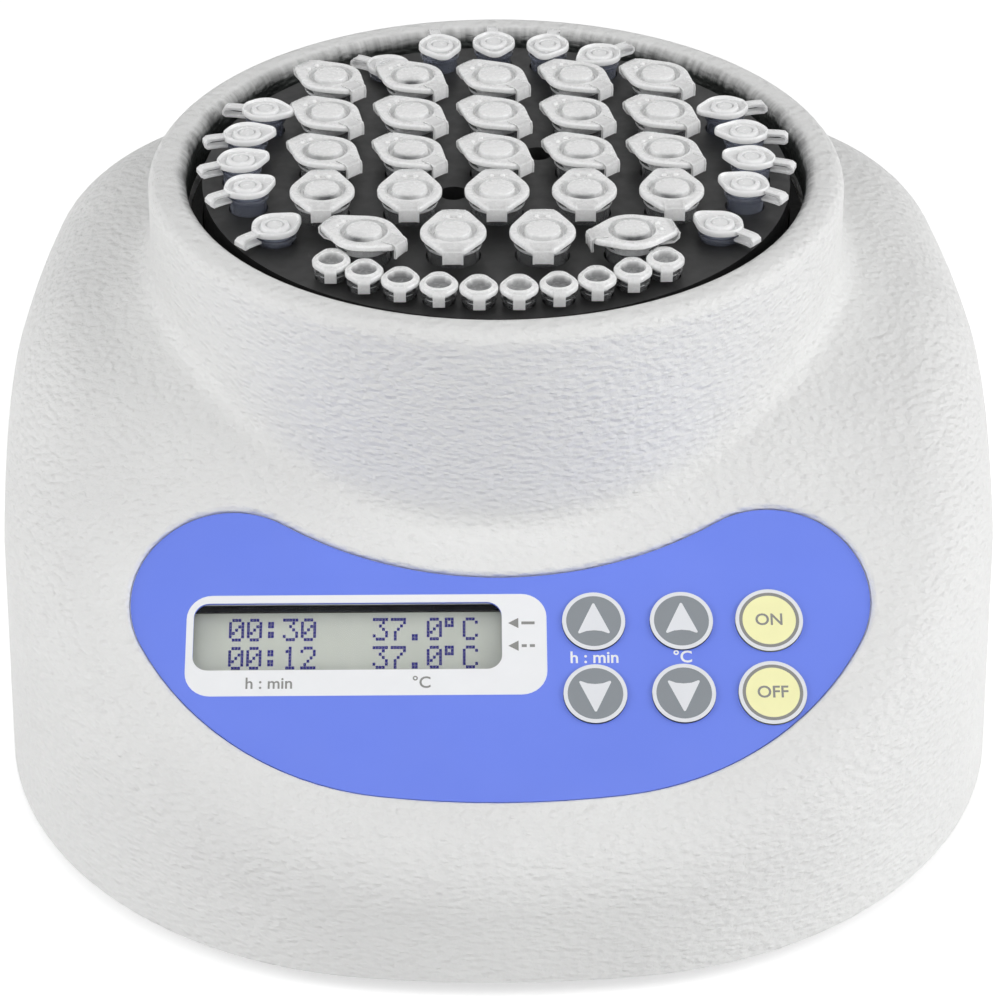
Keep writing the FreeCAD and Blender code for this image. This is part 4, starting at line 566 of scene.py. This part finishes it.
def make_key(name, x, y, kind):
    """Printing on a key: a white rim and an arrow, or rings and a word."""
    body = name + "_push"
    centre = Matrix.Translation((x, y, 0))
    low, high = KEY_TOP - INK_DIP, KEY_TOP + FINE_RELIEF
    shape = Shape()

    def ring(outer, inner, ink):
        points, faces, _ = loft([circle(outer, low, 64), circle(outer, high, 64),
                                 circle(inner, high, 64), circle(inner, low, 64)], closed=True)
        shape.add(points, faces, ink, centre)

    if kind in ("up", "down"):
        ring(ARROW_KEY_RADIUS + KEY_GAP_COVER, ARROW_KEY_RADIUS - ARROW_RING, 0)
        sign = 1 if kind == "up" else -1
        arrow = [(0.2, 3.75), (0, 3.85), (-0.2, 3.75), (-3.1, -2.35), (-3.05, -2.6), (-2.8, -2.65),
                 (-1.5, -2.15), (0, -2.0), (1.5, -2.15), (2.8, -2.65), (3.05, -2.6), (3.1, -2.35)]
        arrow = [(px, py * sign) for px, py in arrow]
        if sign < 0:
            arrow.reverse()
        shape.add(*extruded(arrow, low, high), 0, centre)
        shape.piece(name + "_print", body, "key_grey", ["key_white"], PANEL)
    else:
        edge, white, grey = (ACTION_KEY_RADIUS - inset for inset in (-KEY_GAP_COVER, *ACTION_RINGS))
        ring(edge, white, 0)
        ring(white, grey, 1)
        shape.add(*words(kind, 3.5, 0, 0.0, low, high, 0.05), 1, centre)
        shape.piece(name + "_print", body, "key_yellow", ["key_white", "grey_ink"], PANEL)


def make_rocker_marks():
    """I and O on the two sloping faces of the switch's rocker."""
    shape = Shape()
    facing_back = Matrix.Rotation(math.pi, 4, "Z") @ Matrix.Rotation(math.pi / 2, 4, "X")
    height, rise, middle = ROCKER_FACE
    for mark, side in (("I", 1), ("O", -1)):
        place = Matrix.Translation((SWITCH_X, REAR_FACE_Y + middle, REAR_MIDDLE + side * height / 2))
        place = place @ Matrix.Rotation(-side * math.atan2(rise, height), 4, "X") @ facing_back
        shape.add(*words(mark, 3.6, 0, 0, -INK_DIP, INK_RELIEF, 0.05), 0, place)
    shape.piece("rocker_marks", "power_rocker_tip", "rocker", ["white_ink"])


def make_panel():
    make_bezel()
    make_labels()
    make_characters()
    for (name, kind), column, row in (
            (("time_up", "up"), 0, 0), (("time_down", "down"), 0, 1),
            (("temp_up", "up"), 1, 0), (("temp_down", "down"), 1, 1),
            (("start", "ON"), 2, 0), (("stop", "OFF"), 2, 1)):
        make_key(name, KEY_COLUMNS[column], KEY_ROWS[row], kind)


# Tubes and caps, each in its own coordinates: +X towards the tab, z 0 at the tube's rim

# Directions in degrees from +X: each medium well, the strap of its cap, and how much lower it stands
MEDIUM_TUBES = (
    (-32.5, -40, 2.0), (-16.5, -34, 0), (-3.5, -18, 0), (9.5, -6, 0), (22.5, 15, 0),
    (64, 40, 0.4), (77, 80, 0), (90, 92, 0), (103, 100, 0), (116, 148, 2.9),
    (157.5, 168, 0), (170.5, 194, 0), (183.5, 204, 0), (196.5, 212, 0), (212.5, 221, 2.0))


def large_wells():
    """Place of each large well from the block's axis, the turn of its cap, and how low the tube stands."""
    places = []
    for row, turn in ((2, -45), (1, -45), (0, -45), (-1, -90)):
        places += [(column * WELL_PITCH, row * WELL_PITCH, turn, 0) for column in (-2, -1, 0, 1, 2)]
    for column, turn in ((-1.5, -32), (-0.5, -90), (0.5, -90), (1.5, 193)):
        places.append((column * WELL_PITCH, -2 * WELL_PITCH, turn, 0))
    return places


def on_circle(radius, angle, turn, drop):
    way = math.radians(angle)
    return radius * math.cos(way), radius * math.sin(way), turn, drop


def medium_wells():
    return [on_circle(MEDIUM_CIRCLE, angle, strap + 180, drop) for angle, strap, drop in MEDIUM_TUBES]


def small_wells():
    return [on_circle(SMALL_CIRCLE, SMALL_STEP * (index - 4.5) - 90, -90, 0) for index in range(10)]


def leaf_reach(form, count):
    """How far the leaf outline of a cap reaches in each direction."""
    radius, tab, tab_half, hinge, hinge_half = form
    corners = [(radius * math.cos(math.tau * step / 90), radius * math.sin(math.tau * step / 90))
               for step in range(90)]
    corners += [(tab, tab_half), (tab, -tab_half), (-hinge, hinge_half), (-hinge, -hinge_half)]
    corners.sort()
    hull = []
    for points in (corners, corners[::-1]):
        side = []
        for point in points:
            while len(side) > 1 and ((side[-1][0] - side[-2][0]) * (point[1] - side[-2][1])
                                     <= (side[-1][1] - side[-2][1]) * (point[0] - side[-2][0])):
                side.pop()
            side.append(point)
        hull += side[:-1]
    reach = []
    for step in range(count):
        way = math.tau * step / count
        c, s = math.cos(way), math.sin(way)
        best = 0.0
        for (ax, ay), (bx, by) in zip(hull, hull[1:] + hull[:1]):
            dx, dy = bx - ax, by - ay
            across = c * dy - s * dx
            if abs(across) > 1e-9:
                distance = (ax * dy - ay * dx) / across
                share = (ax * s - ay * c) / across
                if distance > best and -1e-6 <= share <= 1 + 1e-6:
                    best = distance
        reach.append(best)
    for _ in range(2):
        reach = [(reach[i - 1] + 2 * reach[i] + reach[(i + 1) % count]) / 4 for i in range(count)]
    return reach


def cap_rings(form, stations, count):
    """Rings of a cap at its stations: L follows the leaf outline at an inset, R is round."""
    reach = leaf_reach(form, count)
    rings = []
    for kind, value, level in stations:
        if kind == "L":
            rings.append([((reach[step] - value) * math.cos(math.tau * step / count),
                           (reach[step] - value) * math.sin(math.tau * step / count), level)
                          for step in range(count)])
        else:
            rings.append(circle(value, level, count))
    return rings


# form: radius, reach and half width of the tab, reach and half width of the hinge.
# stations: rings from the middle of the hollow underside, round the edge, to the middle of the top.
# slot: the bands that hold the clear slot by the hinge.
# around, near: how much painted shade a station has, all round and on the side towards the panel.
CAPS = {
    "large": {
        "form": (6.7, 8.7, 2.1, 9.2, 2.6),
        "count": 72,
        "stations": [
            ("R", 0, 0.1), ("R", 2.9, 0.12), ("R", 4.25, 0.0), ("R", 4.3, -1.9), ("R", 4.5, -2.3),
            ("R", 4.7, -1.9), ("R", 4.75, 0.0), ("L", 1.9, 0.02), ("L", 0.8, 0.02), ("L", 0.25, 0.05),
            ("L", 0.0, 0.3), ("L", 0.0, 1.0), ("L", 0.12, 1.26), ("L", 0.4, 1.4), ("L", 0.7, 1.36),
            ("L", 1.9, 1.3), ("R", 5.15, 1.3), ("R", 4.95, 1.42), ("R", 4.8, 1.36), ("R", 4.62, 0.7),
            ("R", 4.4, 0.42), ("R", 4.05, 0.36), ("R", 3.8, 0.7), ("R", 3.68, 1.35), ("R", 3.5, 1.72),
            ("R", 3.2, 1.84), ("R", 1.6, 1.9), ("R", 0, 1.92)],
        "slot": (8, 14),
        "around": {17: 0.08, 18: 0.28, 19: 0.2, 20: 0.08, 21: 0.05, 22: 0.08, 23: 0.24, 24: 0.1},
        "near": {19: 0.5, 20: 0.9, 21: 1.0, 22: 1.0, 23: 0.85, 24: 0.5, 25: 0.3, 26: 0.08},
    },
    "medium": {
        "form": (4.75, 6.4, 0.9, 5.0, 1.4),
        "count": 60,
        "stations": [
            ("R", 0, 0.15), ("R", 2.7, 0.1), ("R", 2.75, -1.4), ("R", 3.2, -1.4), ("R", 3.25, 0.03),
            ("L", 0.3, 0.03), ("L", 0.0, 0.25), ("L", 0.0, 0.95), ("L", 0.1, 1.38), ("L", 0.3, 1.54),
            ("L", 0.5, 1.38), ("L", 0.62, 0.92), ("R", 3.4, 0.86), ("R", 3.2, 0.72), ("R", 3.0, 0.86),
            ("R", 2.85, 1.34), ("R", 2.65, 1.46), ("R", 2.0, 1.44), ("R", 1.85, 1.1), ("R", 1.7, 1.08),
            ("R", 1.55, 1.3), ("R", 0, 1.34)],
        "around": {12: 0.1, 13: 0.28, 14: 0.15, 17: 0.1, 18: 0.3, 19: 0.3, 20: 0.1},
    },
    "small": {
        "form": (3.85, 4.3, 1.2, 4.9, 1.2),
        "count": 48,
        "stations": [
            ("R", 0, 0.1), ("R", 2.1, 0.1), ("R", 2.15, -1.6), ("R", 2.5, -1.6), ("R", 2.55, 0.03),
            ("L", 0.3, 0.03), ("L", 0.0, 0.25), ("L", 0.0, 0.95), ("L", 0.2, 1.22), ("L", 0.55, 1.3),
            ("R", 3.1, 1.3), ("R", 2.9, 1.52), ("R", 2.68, 1.58), ("R", 2.48, 1.4), ("R", 2.36, 0.7),
            ("R", 2.0, 0.36), ("R", 1.2, 0.3), ("R", 0, 0.28)],
        "around": {13: 0.45, 14: 0.85, 15: 0.95, 16: 0.92, 17: 0.85},
    },
}
# Radius, straight part, depth, tip radius, wall, height of the rim above the block, and material
TUBES = {
    "large": (5.3, 18.0, 37.0, 2.0, 0.62, 4.4, "tube_clear"),
    "medium": (3.8, 9.0, 25.0, 1.3, 0.5, 4.2, "tube_tinted"),
    "small": (3.0, 2.0, 16.0, 1.0, 0.4, 2.6, "tube_clear"),
}
# How strong the painted shade on a cap's near side can be, and half the angle of the clear slot in degrees
NEAR_PAINTED_SHADES = (0.0, 0.1, 0.55, 0.8, 1.0)
SLOT_ANGLE = 8.0


def cap_painted_shades(design, turn):
    """Painted shade of each point of a cap: round the groove or the bowl, and more on the groove's near side.
    """
    count = design["count"]
    depth, strength = SEED.choice(NEAR_PAINTED_SHADES), SEED.uniform(0.75, 1.0)
    middle, width = SEED.uniform(-120.0, -65.0), SEED.uniform(32.0, 60.0)
    painted_shades = []
    for index, (kind, value, _) in enumerate(design["stations"]):
        around = design["around"].get(index, 0.0) * strength
        near = design.get("near", {}).get(index, 0.0) * depth
        for step in range(1 if (kind, value) == ("R", 0) else count):
            off_middle = abs((360.0 * step / count + turn - middle + 180.0) % 360.0 - 180.0)
            painted_shades.append(min(1.0, around + near * math.exp(-(off_middle / width) ** 2)))
    return painted_shades


def cap_kinds(design, bands):
    """Frosted 0 or clear 1 for each face: the slot by the hinge is clear."""
    count = design["count"]
    low, high = design.get("slot", (0, 0))
    kinds = []
    for index, band in enumerate(bands):
        off_hinge = abs(360.0 * (index % count + 0.5) / count - 180.0)
        kinds.append(1 if low <= band < high and off_hinge < SLOT_ANGLE else 0)
    return kinds


def add_cap(shape, kind, place, turn):
    """One cap with its tab and its folded hinge."""
    design = CAPS[kind]
    points, faces, bands = loft(cap_rings(design["form"], design["stations"], design["count"]))
    shape.add(points, faces, cap_kinds(design, bands), place, cap_painted_shades(design, turn))
    _, tab, tab_half, hinge, _ = design["form"]
    if kind == "large":
        shape.add(*strip([(5.6, 1.24, tab_half), (tab - 0.5, 1.24, tab_half), (tab, 0.95, tab_half),
                          (tab + 0.12, 0.2, tab_half), (tab + 0.05, -1.6, tab_half)], 0.4), 0, place)
        for side in (-1, 1):
            rail = place @ Matrix.Translation((0, 1.9 * side, 0))
            shape.add(*strip([(5.6, 1.36, 0.2), (tab - 0.4, 1.36, 0.2), (tab + 0.12, 1.02, 0.2),
                              (tab + 0.26, 0.2, 0.2), (tab + 0.18, -1.62, 0.2)], 0.4), 0, rail)
            bump = [circle(0.6, 1.25, 12), circle(0.54, 1.56, 12), circle(0.3, 1.78, 12), circle(0, 1.84, 12)]
            points, faces, _ = loft(bump)
            shape.add(points, faces, 0, place @ Matrix.Translation((-5.75, 1.2 * side, 0)))
        shape.add(*strip([(-hinge + 1.2, 1.1, 2.5), (-hinge + 0.3, 1.06, 2.5), (-hinge - 0.08, 0.6, 2.5),
                          (-hinge, -0.6, 2.45), (-hinge + 1.0, -1.5, 2.3), (-5.4, -1.6, 2.2)], 0.4), 0, place)
    elif kind == "medium":
        shape.add(*strip([(-4.2, 0.75, 1.25), (-5.6, 0.75, 1.05), (-7.6, 0.72, 1.0), (-8.6, 0.66, 1.3),
                          (-9.1, 0.2, 1.4), (-9.15, -0.5, 1.4), (-8.6, -0.95, 1.3), (-7.4, -1.0, 1.0),
                          (-5.9, -1.0, 0.95), (-4.3, -1.0, 1.0)], 0.5), 0, place)
        for side in (-1, 1):
            rail = place @ Matrix.Translation((0, 1.02 * side, 0))
            shape.add(*strip([(-4.6, 0.98, 0.16), (-7.6, 0.96, 0.16), (-8.7, 0.86, 0.16)], 0.3), 0, rail)
    else:
        shape.add(*strip([(tab - 1.0, 1.28, tab_half), (tab - 0.2, 1.22, tab_half),
                          (tab + 0.15, 0.8, tab_half), (tab + 0.2, 0.0, tab_half),
                          (tab + 0.1, -1.7, tab_half)], 0.5), 0, place)
        shape.add(*strip([(-hinge + 0.9, 0.9, 0.9), (-hinge, 0.7, 0.9), (-hinge - 0.1, 0.0, 0.9),
                          (-hinge + 0.7, -1.1, 0.9)], 0.5), 0, place)


def add_tube(shape, kind, place, neck):
    """One hollow tube with its rim, its levels counted from the rim's top."""
    radius, straight, depth, tip, wall, _, _ = TUBES[kind]
    bottom, shoulder = -depth - neck, -straight - neck
    rim, inner = radius + 0.55, radius - wall
    profile = [
        (0, bottom), (tip * 0.7, bottom + 0.15), (tip, bottom + 0.8), (radius - 0.15, shoulder - 0.4),
        (radius, shoulder + 0.4), (radius, -1.75), (rim - 0.1, -1.65), (rim, -1.45), (rim, -1.0),
        (rim - 0.15, -0.85), (radius - 0.1, -0.8), (radius - 0.1, -0.03), (inner, -0.03), (inner, shoulder),
        (tip - wall * 0.8, bottom + 1.2), (0, bottom + 0.8)]
    points, faces, _ = loft([circle(r, z, 48) for r, z in profile])
    shape.add(points, faces, 0, place)


def make_tubes():
    """Tubes and caps of each size, in place of the plain CAD ones."""
    for kind, wells in (("large", large_wells()), ("medium", medium_wells()), ("small", small_wells())):
        *_, height, plastic = TUBES[kind]
        tubes, caps = Shape(), Shape()
        for x, y, turn, drop in wells:
            turn += SEED.uniform(-1.0, 1.0)
            neck = height - drop
            place = (Matrix.Translation((x, y + BLOCK_AXIS_Y, BLOCK_TOP + neck))
                     @ Matrix.Rotation(math.radians(turn), 4, "Z"))
            add_tube(tubes, kind, place, neck)
            add_cap(caps, kind, place, turn)
        body = kind + "_tube_set"
        made = tubes.piece(kind + "_clear_tubes", body, "tube_plastic", [plastic])
        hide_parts(kind + "_tubes")
        skin = "cap_milky" if kind == "medium" else "cap_frosted"
        made = caps.piece(kind + "_clear_caps", body, "cap_plastic", [skin, "cap_clear"])
        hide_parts(kind + "_tube_caps")


# Stage, in metres

FLOOR_HALF = 3.0
FLOOR_DEPTH = 0.02
# Name, place, width and power in watts of each soft lamp, and the point that they face
LAMPS = (
    ("top_lamp", (0.0, -0.4, 1.05), 0.9, 2.5),
    ("front_lamp", (0.0, -1.1, 0.5), 0.7, 1.9),
    ("left_lamp", (-0.9, -0.2, 0.5), 0.6, 4.1),
    ("right_lamp", (0.9, -0.2, 0.5), 0.6, 5.3),
)
LIT_POINT = Vector((0, 0, 0.06))
# The photograph's camera: lens in millimetres, and its angles below level and to the side in degrees
CAMERA_LENS = 117.2
CAMERA_PLACE = (-0.00595, -0.5902, 0.424)
CAMERA_DOWN = 33.0
CAMERA_TURN = -0.63


def lifted(tree, low, high, socket):
    """A strength that is higher for what the camera sees, also by reflection or through clear parts."""
    rays = tree.nodes.new("ShaderNodeLightPath")
    seen = rays.outputs["Is Camera Ray"]
    for kind in ("Is Glossy Ray", "Is Transmission Ray"):
        either = tree.nodes.new("ShaderNodeMath")
        either.operation = "MAXIMUM"
        tree.links.new(seen, either.inputs[0])
        tree.links.new(rays.outputs[kind], either.inputs[1])
        seen = either.outputs[0]
    strength = tree.nodes.new("ShaderNodeMapRange")
    tree.links.new(seen, strength.inputs["Value"])
    strength.inputs["To Min"].default_value = low
    strength.inputs["To Max"].default_value = high
    tree.links.new(strength.outputs["Result"], socket)


def make_stage():
    """White floor that keeps the shadow, soft lamps and the camera of the photograph."""
    corners = [(x * FLOOR_HALF, y * FLOOR_HALF) for x, y in ((-1, -1), (1, -1), (1, 1), (-1, 1))]
    points, faces = extruded(corners, -FLOOR_DEPTH, 0.0)
    material = bpy.data.materials.new("floor_white")
    material.use_nodes = True
    tree = material.node_tree
    shader = tree.nodes["Principled BSDF"]
    shader.inputs["Base Color"].default_value = (0.82, 0.82, 0.82, 1)
    shader.inputs["Roughness"].default_value = 0.6
    shader.inputs["Emission Color"].default_value = (1, 1, 1, 1)
    lifted(tree, 0.0, 0.55, shader.inputs["Emission Strength"])
    mesh = bpy.data.meshes.new("floor")
    mesh.from_pydata(points, [], faces)
    mesh.materials.append(material)
    floor = bpy.data.objects.new("floor", mesh)
    bpy.context.scene.collection.objects.link(floor)

    world = bpy.data.worlds.new("studio")
    bpy.context.scene.world = world
    world.use_nodes = True
    tree = world.node_tree
    background = tree.nodes["Background"]
    background.inputs["Color"].default_value = (1, 1, 1, 1)
    lifted(tree, 0.2, 1.0, background.inputs["Strength"])

    for name, place, size, power in LAMPS:
        lamp = bpy.data.objects.new(name, bpy.data.lights.new(name, "AREA"))
        lamp.data.energy = power
        lamp.data.size = size
        lamp.location = place
        lamp.rotation_euler = (LIT_POINT - Vector(place)).to_track_quat("-Z", "Y").to_euler()
        bpy.context.scene.collection.objects.link(lamp)

    camera = bpy.data.objects.new("camera", bpy.data.cameras.new("camera"))
    camera.data.lens = CAMERA_LENS
    camera.data.sensor_width = 36.0
    camera.location = CAMERA_PLACE
    camera.rotation_euler = (math.radians(90 - CAMERA_DOWN), 0, math.radians(CAMERA_TURN))
    bpy.context.scene.collection.objects.link(camera)
    bpy.context.scene.camera = camera
    bpy.context.scene.view_settings.view_transform = "Standard"


paint_nodes()
make_panel()
make_rocker_marks()
make_tubes()
make_stage()
